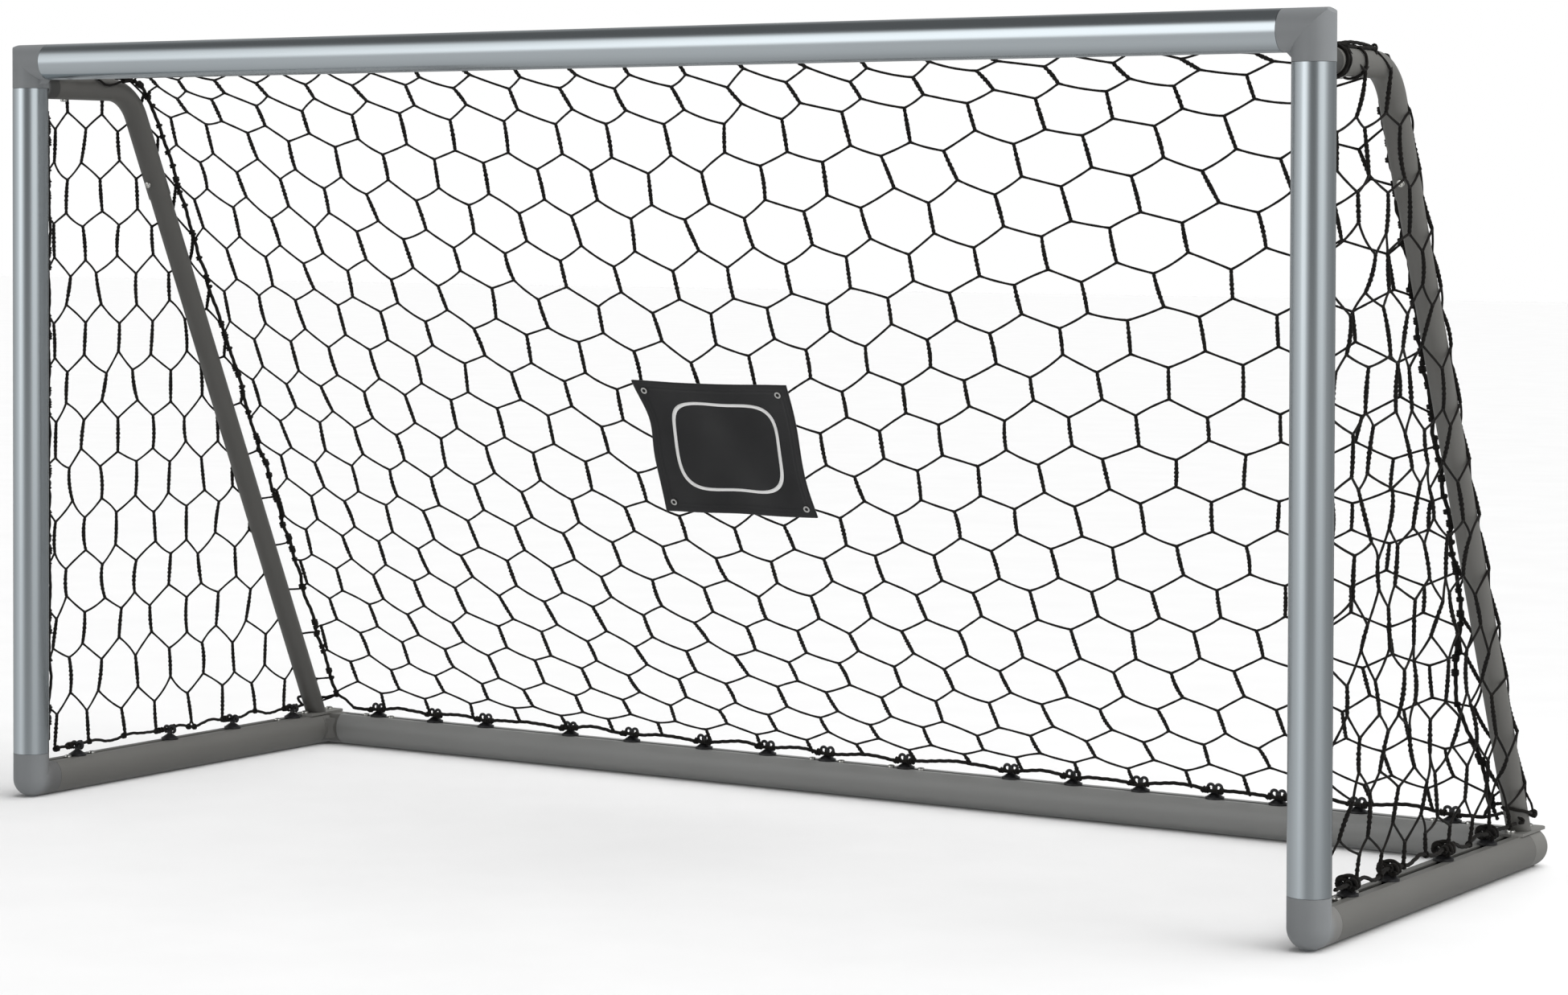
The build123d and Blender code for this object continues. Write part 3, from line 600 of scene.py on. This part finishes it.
def seam_line(s):
    """Points down a seam: along the stay's level part, over its bend and down behind its long part."""
    line = []
    start = POST_BACK + UNDER_HORN
    steep = (math.sin(STAY_TURN), math.cos(STAY_TURN))
    top = bend_point(steep)
    for i in range(SEAM_POINTS):
        share = i / (SEAM_POINTS - 1)
        if share < LEVEL_SHARE:
            base, normal = (start + (BEND_START_Y - start) * share / LEVEL_SHARE, STAY_Z), (0.0, 1.0)
        elif share < BEND_SHARE:
            turn = STAY_TURN * (share - LEVEL_SHARE) / (BEND_SHARE - LEVEL_SHARE)
            normal = (math.sin(turn), math.cos(turn))
            base = bend_point(normal)
        else:
            reach = (top[1] - SEAM_FOOT_Z) * (share - BEND_SHARE) / (1 - BEND_SHARE)
            base, normal = (top[0] + reach * math.tan(STAY_LEAN), top[1] - reach), steep
        line.append([s * seam_x(s, base[1]), base[0] + normal[0] * SKIN, base[1] + normal[1] * SKIN])
    return np.array(line)


SEAMS = {s: smooth_line(seam_line(s), 0.004) for s in (-1, 1)}
SNAP_REACH, SNAP_X = 0.07, 0.96  # an end of twine this near a seam, and this far aside, belongs to it


def snap_to_seam(point):
    """Brings an end of twine that lies near a seam onto it."""
    seam = SEAMS[1 if point[0] > 0 else -1]
    away = np.linalg.norm(seam - point, axis=1)
    return seam[away.argmin()] if away.min() < SNAP_REACH and abs(point[0]) > SNAP_X else point


def inside_main(column, row):
    """Whether the main net reaches a place of its lattice."""
    point = main_net_point(column, row)
    return abs(point[0]) <= seam_x(np.sign(point[0]), point[2]) and 0 <= row <= ROWS_END


def cut(a, b, inside):
    """Shortens the bar a-b to its part inside, or gives None."""
    in_a, in_b = inside(*a), inside(*b)
    if in_a and in_b:
        return a, b, False
    if not in_a and not in_b:
        return None
    keep, lose = (a, b) if in_a else (b, a)
    low, high = 0.0, 1.0
    for _ in range(20):
        middle = (low + high) / 2
        at = (keep[0] + (lose[0] - keep[0]) * middle, keep[1] + (lose[1] - keep[1]) * middle)
        low, high = (middle, high) if inside(*at) else (low, middle)
    end = (keep[0] + (lose[0] - keep[0]) * low, keep[1] + (lose[1] - keep[1]) * low)
    return keep, end, True


class Lattice:
    """Draws a hexagon net over a surface, each knot a little out of place."""

    def __init__(self, surface, inside, jitter, seed, slack=0.014, snap=None, hug=None):
        self.surface, self.inside = surface, inside
        self.jitter, self.slack = jitter, slack
        self.snap, self.hug = snap, hug
        self.draw = random.Random(seed)
        self.knots = {}
        self.landings = []

    def knot_at(self, key, loose):
        """The knot at a place of the lattice. A loose one strays, and one at the edge goes on its rope."""
        if key not in self.knots:
            point = self.surface(*key)
            if loose:
                free = self.hug(point) if self.hug else 1.0
                point = point + free * np.array([self.draw.gauss(0, j) for j in self.jitter])
            else:
                point = self.snap(point) if self.snap else point
                self.landings.append(point)
            self.knots[key] = point
        return self.knots[key]

    def build(self, strands, rows, columns):
        """Draws every bar that lies inside."""
        for a, b, doubled in hex_edges(rows, columns):
            kept = cut(a, b, self.inside)
            if kept is None:
                continue
            near, far, at_edge = kept
            self.bar(strands, self.knot_at(near, True), self.knot_at(far, not at_edge), doubled)

    def bar(self, strands, start, end, doubled):
        """One side of a mesh: a single twine with a little slack, or two twisted ones."""
        length = np.linalg.norm(end - start)
        if length < 0.004:
            return
        sag = 0.010 * length
        bow = np.array([self.draw.gauss(0, self.slack * length) for _ in range(3)]) - [0, 0, sag]
        count = max(5, int(length / 0.0032)) if doubled else 8
        t = np.linspace(0, 1, count)[:, None]
        line = start + (end - start) * t + bow * 4 * t * (1 - t)
        if doubled:
            twisted(strands, line, self.draw)
        else:
            strands.cord(line, TWINE_R, sides=7, lobes=2, depth=0.08, pitch=0.006, swell=0.22)

    def tie(self, strands, axis):
        """Hitches the twine's ends round the rope that they land on."""
        for point in self.landings:
            knot(strands, point, axis(point), ROPE_R + TWINE_R * 0.7, turns=1.6, thick=TWINE_R)


def main_edge_axis(point):
    """Which way the rope runs that an end of the main net's twine lands on."""
    on_seam = abs(point[0]) > seam_x(np.sign(point[0]), point[2]) - 0.004
    return (0.0, math.sin(STAY_LEAN), -math.cos(STAY_LEAN)) if on_seam else (1.0, 0.0, 0.0)


MAIN_LOOSE = (0.0019, 0.0022, 0.0019)  # how far its knots stray along X, Y and Z
main_net = Strands()
main_lattice = Lattice(main_net_point, inside_main, MAIN_LOOSE, 11, snap=snap_to_seam)
main_lattice.build(main_net, 20, (-26, 21))
main_lattice.tie(main_net, main_edge_axis)
main_net.piece("net_main", "net_back", "net_roof")

# ---------------------------------------------------------------- side nets
SIDE_COLUMN_W = 0.0423
SIDE_ROW_H = 0.0775
STAY_COLUMN_W = 0.030  # the right net's columns where they follow the stay
BEHIND_STAY = 0.0235  # from the stay's axis back to the column that lies along it
SIDE_TOP_Z = {-1: 1.127, 1: 1.1054}
SIDE_FRONT_Y = -0.362


def stay_distance(y, z):
    """How far a point in a stay's plane lies outside its centre line, and the outward normal there."""
    cy, cz = BEND_CENTRE
    dy, dz = y - cy, z - cz
    angle = math.atan2(dy, dz)
    if angle <= 0:
        return z - STAY_Z, (0.0, 1.0)
    if angle >= STAY_TURN:
        n = (math.sin(STAY_TURN), math.cos(STAY_TURN))
        return dy * n[0] + dz * n[1] - STAY_BEND_R, n
    r = math.hypot(dy, dz)
    return r - STAY_BEND_R, (dy / r, dz / r)


def side_place(s, column, row):
    """Where a side net's column and row cross. On the right the columns step down along the stay."""
    z = SIDE_TOP_Z[s] - SIDE_ROW_H * row
    if s < 0:
        return SIDE_FRONT_Y + SIDE_COLUMN_W * column, z
    rear = stay_axis_y(z) + BEHIND_STAY
    behind = column - 6 - row
    if behind > -3:
        return rear + STAY_COLUMN_W * behind, z
    return SIDE_FRONT_Y + (rear - 3 * STAY_COLUMN_W - SIDE_FRONT_Y) * column / (3 + row), z


SLACK = {-1: 0.0030, 1: 0.0060}  # how far the loose side nets belly in and out


def side_surface(s):
    """Where a side net runs: from the post's clips over the stay's outside and round it to the seam."""

    def point(column, row):
        y, z = side_place(s, column, row)
        reach, normal = stay_distance(y, z)
        if reach <= 0:
            across = ease((y - POST_BACK - UNDER_HORN) / 0.10)
            out = across * ease((z - RAIL_TOP - HORN_Z) / 0.10)
            foot = POST_X + HORN_OFFSET * ease((y - POST_BACK) / 0.05) - BESIDE_STEM * (1 - across)
            free = ease(-reach / 0.06) * out
            waves = math.sin(31 * y + 17 * z + s) + math.sin(23 * y - 29 * z + 2 * s)
            slack = SLACK[s] * free * (waves - 1.2)
            return np.array([s * (foot + (POST_X + SKIN - foot) * out + slack), y, z])
        base = np.array([0, y - normal[0] * reach, z - normal[1] * reach])
        lift = np.array([0, normal[0], normal[1]])
        if reach < WRAP:
            turn = reach / SKIN
            return base + lift * SKIN * math.sin(turn) + [s * (POST_X + SKIN * math.cos(turn)), 0, 0]
        return base + lift * SKIN + [s * (POST_X - (reach - WRAP)), 0, 0]

    return point


def inside_side(s):
    """A test of whether a side net reaches a place of its lattice."""

    def test(column, row):
        y, z = side_place(s, column, row)
        reach, _ = stay_distance(y, z)
        low = rail_hem(s, y)[2]
        front = post_hem(s, z)[1]
        return reach <= WRAP + POST_X - seam_x(s, z) and z >= low and y >= front and y <= REAR_Y + 0.01

    return test


def on_stay(point):
    """How much of its straying a knot keeps: little close to the stay, all of it in front."""
    return 0.25 if stay_distance(point[1], point[2])[0] > -0.02 else 1.0


def side_edge_axis(point):
    """Which way the rope runs that an end of a side net's twine lands on."""
    if point[2] < RAIL_TOP + 0.05:
        return 0.0, 1.0, 0.0
    if point[1] < POST_BACK + 0.03:
        return 0.0, 0.0, 1.0
    return 0.0, math.sin(STAY_LEAN), -math.cos(STAY_LEAN)


# how far each side net's knots stray along X, Y and Z
SIDE_LOOSE = {-1: (0.0010, 0.0030, 0.0032), 1: (0.0022, 0.0055, 0.0050)}
for name, s in (("left", -1), ("right", 1)):
    side_net = Strands()
    lattice = Lattice(side_surface(s), inside_side(s), SIDE_LOOSE[s], 21 + s, 0.022, snap_to_seam, on_stay)
    lattice.build(side_net, 15, (-1, 25))
    lattice.tie(side_net, side_edge_axis)
    side_net.piece(f"net_{name}_mesh", f"net_{name}_side")

# ---------------------------------------------------------------- hem ropes, seams and lashings
HITCH_ASIDE = 0.0125  # a hitch's distance from its clip


def shifted(origin, offsets):
    """Points given by their offsets from an origin."""
    return [[start + step for start, step in zip(origin, offset)] for offset in offsets]


def hem_piece(name, path, low, high, node, hitched=(), radius=ROPE_R):
    """A hem rope along path, with a hitch either side of each clip."""
    strands = Strands()
    count = int((high - low) / 0.02)
    points = [path(low + (high - low) * i / count) for i in range(count + 1)]
    draw = random.Random(name)
    points = [p + np.array([draw.gauss(0, 0.0006) for _ in range(3)]) for p in points]
    rope(strands, points, radius)
    for at in hitched:
        for away in (-HITCH_ASIDE, HITCH_ASIDE):
            size, turns = 0.0034 * draw.uniform(0.85, 1.25), draw.choice((1.6, 2.2, 2.8))
            knot(strands, path(at + away), path(at + 0.01) - path(at - 0.01), size, turns, 0.0018)
    strands.piece(name, node)


def right_rail_hitches():
    """Heavy coils on both horns of each clip of the right rail, and a turn over them."""
    strands = Strands()
    draw = random.Random(61)
    for y in metres(SIDE_CLIPS[1]):
        for side in (-1, 1):
            middle = (POST_X + side * (HORN_OFFSET + 0.0004), y, RAIL_TOP + HORN_Z - 0.001)
            knot(strands, middle, (0.2 * draw.random(), 1.0, 0.15), 0.0062, 2.4, 0.0028)
        over = shifted((POST_X, y, RAIL_TOP), (
            (-0.0125, -0.005, 0.0115), (-0.0120, -0.004, 0.0205), (-0.004, -0.0020, 0.0248),
            (0.005, 0.002, 0.0250), (0.0122, 0.004, 0.0205), (0.0125, 0.005, 0.012)))
        rope(strands, over, 0.0027)
    strands.piece("right_rail_hitches")


def seam_piece(name, s):
    """A laced seam with its knots, tied to the rear hem, and on the left to the rail's hem as well."""
    strands = Strands()
    draw = random.Random(40 + s)
    line = seam_line(s)
    line[:, 0] += [0.0030 * draw.uniform(-1, 1) for _ in line]
    foot, hem_end = line[-1], rear_hem(s * REAR_HEM_END)
    rope(strands, line, SEAM_R)
    rope(strands, [foot, (foot + hem_end) / 2 + [0.0, 0.001, 0.002], hem_end], ROPE_R)
    if s < 0:
        round_stay = shifted((-POST_X, stay_axis_y(foot[2]), 0.080), (
            (0.016, 0.021, 0.0), (-0.016, 0.017, -0.001), (-0.019, -0.010, 0.0)))
        rope(strands, [foot, *round_stay, rail_hem(s, RAIL_HEM_END)], ROPE_R)
    for place in range(2, SEAM_POINTS - 1):
        if draw.random() < 0.55 or place in (9, 11, 12, 14):
            turns = draw.choice((1.6, 2.4, 3.2))
            way = np.subtract(line[place + 1], line[place - 1])
            knot(strands, line[place], way, SEAM_R + 0.0012, turns, TWINE_R)
    strands.piece(f"{name}_seam", f"{name}_net_seam")


def left_lashing(strands):
    """A loose loop of rope over the stay, just in front of its bend, knotted at the seam."""
    loop = shifted((-POST_X, FRONT_Y, STAY_Z), (
        (-0.0160, 0.158, 0.0095), (-0.0120, 0.150, 0.0175), (-0.0020, 0.142, 0.0205),
        (0.0100, 0.142, 0.0180), (0.0175, 0.147, 0.0120), (0.0205, 0.155, 0.0070),
        (0.0210, 0.167, 0.0065), (0.0220, 0.181, 0.0095), (0.0240, 0.196, 0.0150)))
    rope(strands, loop, 0.0019)
    knot(strands, loop[-1], (0.1, 1.0, 0.2), 0.0034, 2.2, TWINE_R)


def right_top_turns(strands):
    """Two turns of rope round the level part of the right stay."""
    reach = STAY_R + ROPE_R
    for y, lean in ((0.0582, 0.0), (0.0652, 0.1)):
        t = np.linspace(0, 2 * math.pi, 40)
        across, rise = POST_X + reach * np.cos(t), STAY_Z + reach * np.sin(t)
        rope(strands, np.stack([across, FRONT_Y + y + 0.004 * np.sin(t + lean), rise], 1))


def right_top_ropes(strands):
    """Two ropes along the top of the right stay, knotted at its bend, and a thin one round it."""
    top = (POST_X, FRONT_Y, STAY_Z + STAY_R)
    rope(strands, shifted(top, ((-0.005, 0.049, 0.002), (-0.002, 0.080, 0.005), (0.001, 0.110, 0.0075),
                                (0.003, 0.150, 0.006), (0.003, 0.183, 0.002))))
    rope(strands, shifted(top, ((-0.001, 0.058, 0.003), (0.0025, 0.095, 0.001), (0.006, 0.140, 0.0012),
                                (0.0065, 0.181, 0.0018))))
    knot(strands, shifted(top, [(0.0045, 0.180, 0.003)])[0], (0.1, 1.0, 0.0), 0.0036, 1.6, TWINE_R)
    reach = STAY_R + ROPE_R
    wrap = []
    for k in range(16):
        turn = math.radians(110 - 16 * k)
        y = FRONT_Y + 0.124 - 0.0008 * k
        wrap.append([POST_X + reach * math.cos(turn), y, STAY_Z + reach * math.sin(turn)])
    rope(strands, wrap, 0.0018)


def right_foot_lashing(strands):
    """The rear hem's end, wound round the foot of the right stay and knotted, with a tail."""
    foot = (POST_X, STAY_FOOT_Y, RAIL_TOP)
    ring = []
    for k in range(19):
        turn = math.radians(-100 + 20 * k)
        z = 0.077 - 0.004 * math.cos(turn) + 0.0006 * k
        ring.append([POST_X + 0.0200 * math.sin(turn), stay_axis_y(z) + 0.0215 * math.cos(turn), z])
    arrival = shifted(foot, ((-0.064, 0.0275, 0.012), (-0.040, 0.019, 0.019), (-0.026, 0.003, 0.025)))
    rope(strands, arrival + ring[1:-3])
    rope(strands, [ring[-3]] + shifted(foot, ((0.015, -0.022, 0.021), (0.011, -0.028, 0.018))))
    tail = shifted(foot, ((0.0185, 0.006, 0.028), (0.0195, -0.003, 0.041), (0.017, -0.012, 0.054),
                          (0.010, -0.014, 0.067)))
    knot(strands, tail[0], (0.5, -0.8, 0.1), 0.0042, 2.4)
    knot(strands, tail[0], (0.1, 0.3, 0.9), 0.0040, 1.6)
    rope(strands, tail, 0.0016)


REAR_HEM_END, BAR_HEM_END, RAIL_HEM_END = 1.010, 1.022, 0.318
hem_piece("rear_hem", rear_hem, -REAR_HEM_END, REAR_HEM_END, "rear_rail_hem_rope", metres(REAR_CLIPS),
          REAR_ROPE_R)
hem_piece("crossbar_hem", bar_hem, -BAR_HEM_END, BAR_HEM_END, "crossbar_hem_rope", metres(BAR_CLIPS))
right_rail_hitches()
for name, s in (("left", -1), ("right", 1)):
    hem_piece(f"{name}_rail_hem", lambda y: rail_hem(s, y), -0.316, RAIL_HEM_END, f"{name}_rail_hem_rope",
              metres(SIDE_CLIPS[s]), RIGHT_ROPE_R if s > 0 else ROPE_R)
    hem_piece(f"{name}_post_hem", lambda z: post_hem(s, z), 0.084, 1.076, f"{name}_post_hem_rope",
              metres(POST_CLIPS[s]))
    seam_piece(name, s)
    lashing = Strands()
    if s < 0:
        left_lashing(lashing)
    else:
        right_top_turns(lashing)
        right_foot_lashing(lashing)
        right_top_ropes(lashing)
    lashing.piece(f"{name}_lashing", f"{name}_corner_lashing")

# ---------------------------------------------------------------- the hung panel
PANEL_W, PANEL_H, PANEL_T = 0.266, 0.223, 0.0012
PANEL_HEM = 0.013
EYELET_IN_X, EYELET_IN_Z = 0.017, 0.016  # from the panel's edges to an eyelet's middle
PANEL_X, PANEL_Z = -0.0025, 0.569
PANEL_LEAN = math.radians(26)
panel_lo, panel_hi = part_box("net_banner")
PANEL_Y = (panel_lo.y + panel_hi.y) / 2
PANEL_UP = np.array([0.0, -math.sin(PANEL_LEAN), math.cos(PANEL_LEAN)])
PANEL_FRONT = np.array([0.0, -math.cos(PANEL_LEAN), -math.sin(PANEL_LEAN)])


def panel_point(u, v, lift=0.0):
    """A point of the cloth, u across and v up, both from -1 to 1, and lifted toward the front."""
    free = (1 - abs(u) ** 6) * (1 - abs(v) ** 6)
    pulled_x = 1 - 0.030 * math.cos(math.pi * v / 2) + 0.010 * abs(u * v) ** 3
    pulled_z = 1 - 0.016 * math.cos(math.pi * u / 2) + 0.006 * abs(u * v) ** 3
    ripple = 0.0018 * math.sin(5.2 * u + 2.1 * v) + 0.0012 * math.sin(3.1 * v - 7.4 * u + 1.0)
    corner = -0.003 * max(0.0, u) ** 3 * max(0.0, -v) ** 3
    left_slack = 0.0105 * ((1 - u) / 2) ** 2 * math.exp(-(((v - 0.42) / 0.40) ** 2)) * (1 - v**8)
    right_sway = 0.0042 * math.sin(math.pi * v) * (1 + u) / 2
    across = PANEL_W / 2 * u * pulled_x + corner + left_slack + right_sway
    place = np.array([PANEL_X + across, PANEL_Y, PANEL_Z])
    out = ripple * (0.35 + 0.65 * free) - 0.002 * free + lift
    return place + PANEL_UP * (PANEL_H / 2 * v * pulled_z - corner) + PANEL_FRONT * out


def hem_rise(u, v):
    """The turned and stitched edge is two layers thicker, with a dip where the stitches pull it in."""
    from_edge = min((1 - abs(u)) * PANEL_W / 2, (1 - abs(v)) * PANEL_H / 2)
    step = 1 - ease((from_edge - PANEL_HEM) / 0.0015)
    stitch = math.exp(-(((from_edge - PANEL_HEM + 0.0030) / 0.0009) ** 2))
    return 0.0007 * step - 0.0005 * stitch


def panel_cloth():
    """The cloth's two faces and its rim, as one closed mesh."""
    across, down = 132, 112
    verts, faces = [], []
    for side in (1, -1):
        for j in range(down + 1):
            for i in range(across + 1):
                u, v = 2 * i / across - 1, 2 * j / down - 1
                verts.append(panel_point(u, v, side * (PANEL_T / 2 + hem_rise(u, v))))
    layer = (across + 1) * (down + 1)
    for j in range(down):
        for i in range(across):
            a = j * (across + 1) + i
            quad = (a, a + 1, a + across + 2, a + across + 1)
            faces.append(quad)
            faces.append(tuple(layer + k for k in reversed(quad)))
    rim = list(range(across + 1))
    rim += [(j + 1) * (across + 1) - 1 for j in range(1, down + 1)]
    rim += [down * (across + 1) + i for i in range(across - 1, -1, -1)]
    rim += [j * (across + 1) for j in range(down - 1, 0, -1)]
    for a, b in zip(rim, rim[1:] + rim[:1]):
        faces.append((b, a, a + layer, b + layer))
    return verts, faces


PRINT_W, PRINT_H = 0.72, 0.69  # the printed frame's share of the panel's width and height
PRINT_ASIDE = 0.02  # its middle is this much to the right and up, in the same shares
PRINT_ROUND = 4.2  # power of the superellipse that it follows
PRINT_INNER = 0.935  # its inner edge's size next to its outer one
PRINT_SIDE = 0.85  # how much of that inset its upright sides have
INK_GAP, INK_T = 0.00005, 0.0002


def panel_outline():
    """A printed rounded frame on the cloth, left empty inside."""
    steps, verts, faces = 160, [], []
    low, high = PANEL_T / 2 + INK_GAP, PANEL_T / 2 + INK_GAP + INK_T
    for k in range(steps):
        turn = 2 * math.pi * k / steps
        c, w = math.cos(turn), math.sin(turn)
        round_off = (abs(c) ** PRINT_ROUND + abs(w) ** PRINT_ROUND) ** (-1 / PRINT_ROUND)
        for size, lift in ((1.0, low), (1.0, high), (PRINT_INNER, high), (PRINT_INNER, low)):
            wide = size if abs(c) < 0.5 else 1 - (1 - size) * PRINT_SIDE
            u, v = PRINT_W * c * round_off * wide, PRINT_H * w * round_off * size
            verts.append(panel_point(u + PRINT_ASIDE, v + PRINT_ASIDE, lift))
    for k in range(steps):
        a, b = 4 * k, 4 * ((k + 1) % steps)
        for m in range(4):
            n = (m + 1) % 4
            faces.append((a + m, b + m, b + n, a + n))
    return verts, faces


def tie_panel(strands, u, v):
    """A twine from one corner's eyelet back to the net, with a knot."""
    at = panel_point(u * (1 - EYELET_IN_X * 2 / PANEL_W), v * (1 - EYELET_IN_Z * 2 / PANEL_H))
    back = np.array([at[0] + 0.002, net_back_y(at[0], at[2]) + 0.001, at[2] + 0.004])
    knot(strands, (at + back) / 2 - PANEL_FRONT * 0.002, (0.3, 1.0, 0.2), 0.0022, 1.6, TWINE_R)
    strands.cord(smooth_line([at, (at + back) / 2 + [0.002, 0, 0.002], back], 0.002), TWINE_R, sides=6)


panel = mesh_piece("hung_panel", *panel_cloth(), "cloth", "black_cloth", ("net_banner",))
outline = mesh_piece("panel_outline", *panel_outline(), "print", "black_cloth")
ties = Strands()
for u in (-1, 1):
    for v in (-1, 1):
        tie_panel(ties, u, v)
ties.piece("panel_ties")

# ---------------------------------------------------------------- floor, light and camera
FLOOR_HALF = 30.0
floor_corners = [(x * FLOOR_HALF, y * FLOOR_HALF, 0) for x, y in ((-1, -1), (1, -1), (1, 1), (-1, 1))]
floor_mesh = bpy.data.meshes.new("floor")
floor_mesh.from_pydata(floor_corners, [], [(0, 1, 2, 3)])
floor = placed("floor", floor_mesh)
material("floor", (0.82, 0.82, 0.82), (0.84, 0.84, 0.84), 0.9, grain=3.0, bump=0.0, depth=0.0004,
         specular=0.0)
floor_mesh.materials.append(MATERIALS["floor"])
floor.visible_glossy = False


def light(name, kind, energy):
    """A light that the metal doesn't mirror."""
    made = placed(name, bpy.data.lights.new(name, kind))
    made.data.energy = energy
    made.visible_glossy = False
    return made


sun = light("sky_light", "SUN", 2.7)
sun.data.angle = math.radians(80)
sun.rotation_euler = (math.radians(-18), math.radians(22), 0)
side_light = light("side_light", "AREA", 11)
side_light.data.shape = "SQUARE"
side_light.data.size = 1.4
side_light.location = (2.9, -0.3, 1.5)
side_light.rotation_euler = Vector((-1.83, 0.4, -1.0)).to_track_quat("-Z", "Y").to_euler()

world = bpy.data.worlds.new("studio")
bpy.context.scene.world = world
world.use_nodes = True
sky = Nodes(world.node_tree)
out = sky.add("ShaderNodeOutputWorld")
direction = sky.add("ShaderNodeTexCoord")
parts = sky.add("ShaderNodeSeparateXYZ")
sky.link(direction.outputs["Generated"], parts.inputs[0])


def calc(operation, *values):
    """A math node over values, each a number or a socket."""
    node = sky.add("ShaderNodeMath", operation=operation)
    for k, value in enumerate(values):
        if isinstance(value, (int, float)):
            node.inputs[k].default_value = value
        else:
            sky.link(value, node.inputs[k])
    return node.outputs[0]


RAMP_TOP = 2.0  # the brightness that a ramp's white stands for


def ramp_of(value, stops):
    """A ramp over azimuth, given as (degrees from -180 to 180, brightness up to RAMP_TOP)."""
    node = sky.add("ShaderNodeValToRGB")
    ramp = node.color_ramp
    while len(ramp.elements) < len(stops):
        ramp.elements.new(0.5)
    for element, (degrees, bright) in zip(ramp.elements, stops):
        element.position = degrees / 360 + 0.5
        grey = bright / RAMP_TOP
        element.color = (grey, grey, grey, 1)
    sky.link(value, node.inputs["Fac"])
    return calc("MULTIPLY", node.outputs["Color"], RAMP_TOP)


def step_between(value, low, high):
    """A smooth step of an angle between two others in degrees."""
    node = sky.add("ShaderNodeMapRange", interpolation_type="SMOOTHSTEP")
    node.inputs["From Min"].default_value = math.radians(low)
    node.inputs["From Max"].default_value = math.radians(high)
    sky.link(value, node.inputs["Value"])
    return node.outputs["Result"]


def blend_of(factor, a, b):
    """a where the factor is 0, b where it is 1."""
    return calc("ADD", calc("MULTIPLY", calc("SUBTRACT", 1.0, factor), a), calc("MULTIPLY", factor, b))


azimuth = calc("ADD", calc("DIVIDE", calc("ARCTAN2", parts.outputs[1], parts.outputs[0]), 2 * math.pi), 0.5)
elevation = calc("ARCSINE", parts.outputs[2])
# What the metal mirrors: two tall softboxes with a dark gap between them, a pale floor and a dark ceiling.
BOXES = [(-180, 0.45), (-165, 0.60), (-146, 0.80), (-130, 1.10), (-122, 1.75), (-106, 1.55),
         (-93, 0.55), (-80, 0.18), (-62, 0.16), (-50, 0.30), (-36, 1.15), (-16, 1.30), (-4, 0.90),
         (14, 0.40), (50, 0.28), (120, 0.35), (180, 0.45)]
FLOOR_GLOW = [(-180, 0.50), (-150, 0.58), (-124, 0.66), (-80, 0.40), (-40, 0.44), (0, 0.42), (60, 0.28),
              (180, 0.50)]
CEILING = 0.13
walls = blend_of(step_between(elevation, -11, 5), ramp_of(azimuth, FLOOR_GLOW), ramp_of(azimuth, BOXES))
level_of_light = blend_of(step_between(elevation, 30, 50), walls, CEILING)
mirrored = sky.add("ShaderNodeBackground", Color=(0.975, 0.99, 1.0, 1))
sky.link(level_of_light, mirrored.inputs["Strength"])
softened = sky.add("ShaderNodeBackground", Color=(1.0, 1.0, 1.0, 1), Strength=0.42)
backdrop = sky.add("ShaderNodeBackground", Color=(1, 1, 1, 1), Strength=1.0)
seen = sky.add("ShaderNodeLightPath")
room = sky.add("ShaderNodeMixShader")
sky.link(seen.outputs["Is Glossy Ray"], room.inputs[0])
sky.link(softened.outputs[0], room.inputs[1])
sky.link(mirrored.outputs[0], room.inputs[2])
mix = sky.add("ShaderNodeMixShader")
sky.link(seen.outputs["Is Camera Ray"], mix.inputs[0])
sky.link(room.outputs[0], mix.inputs[1])
sky.link(backdrop.outputs[0], mix.inputs[2])
sky.link(mix.outputs[0], out.inputs["Surface"])

# the camera, in front of the goal and to its right, at four fifths of its height
CAMERA_AT = (3.0203, -4.8973, 0.9385)
YAW, PITCH, ROLL = math.radians(35.255), math.radians(-1.214), math.radians(0.083)
forward = Vector((-math.sin(YAW) * math.cos(PITCH), math.cos(YAW) * math.cos(PITCH), math.sin(PITCH)))
level = Vector((math.cos(YAW), math.sin(YAW), 0))
upward = level.cross(forward)
right = level * math.cos(ROLL) + upward * math.sin(ROLL)
up = upward * math.cos(ROLL) - level * math.sin(ROLL)
camera = placed("camera", bpy.data.cameras.new("camera"))
rows = [(right[i], up[i], -forward[i], CAMERA_AT[i]) for i in range(3)]
camera.matrix_world = Matrix(rows + [(0, 0, 0, 1)])
camera.data.sensor_width = 36.0
camera.data.lens = 88.54
camera.data.shift_x = 0.18205
camera.data.shift_y = -0.13769
camera.data.clip_end = 200.0
bpy.context.scene.camera = camera
bpy.context.scene.view_settings.view_transform = "Standard"
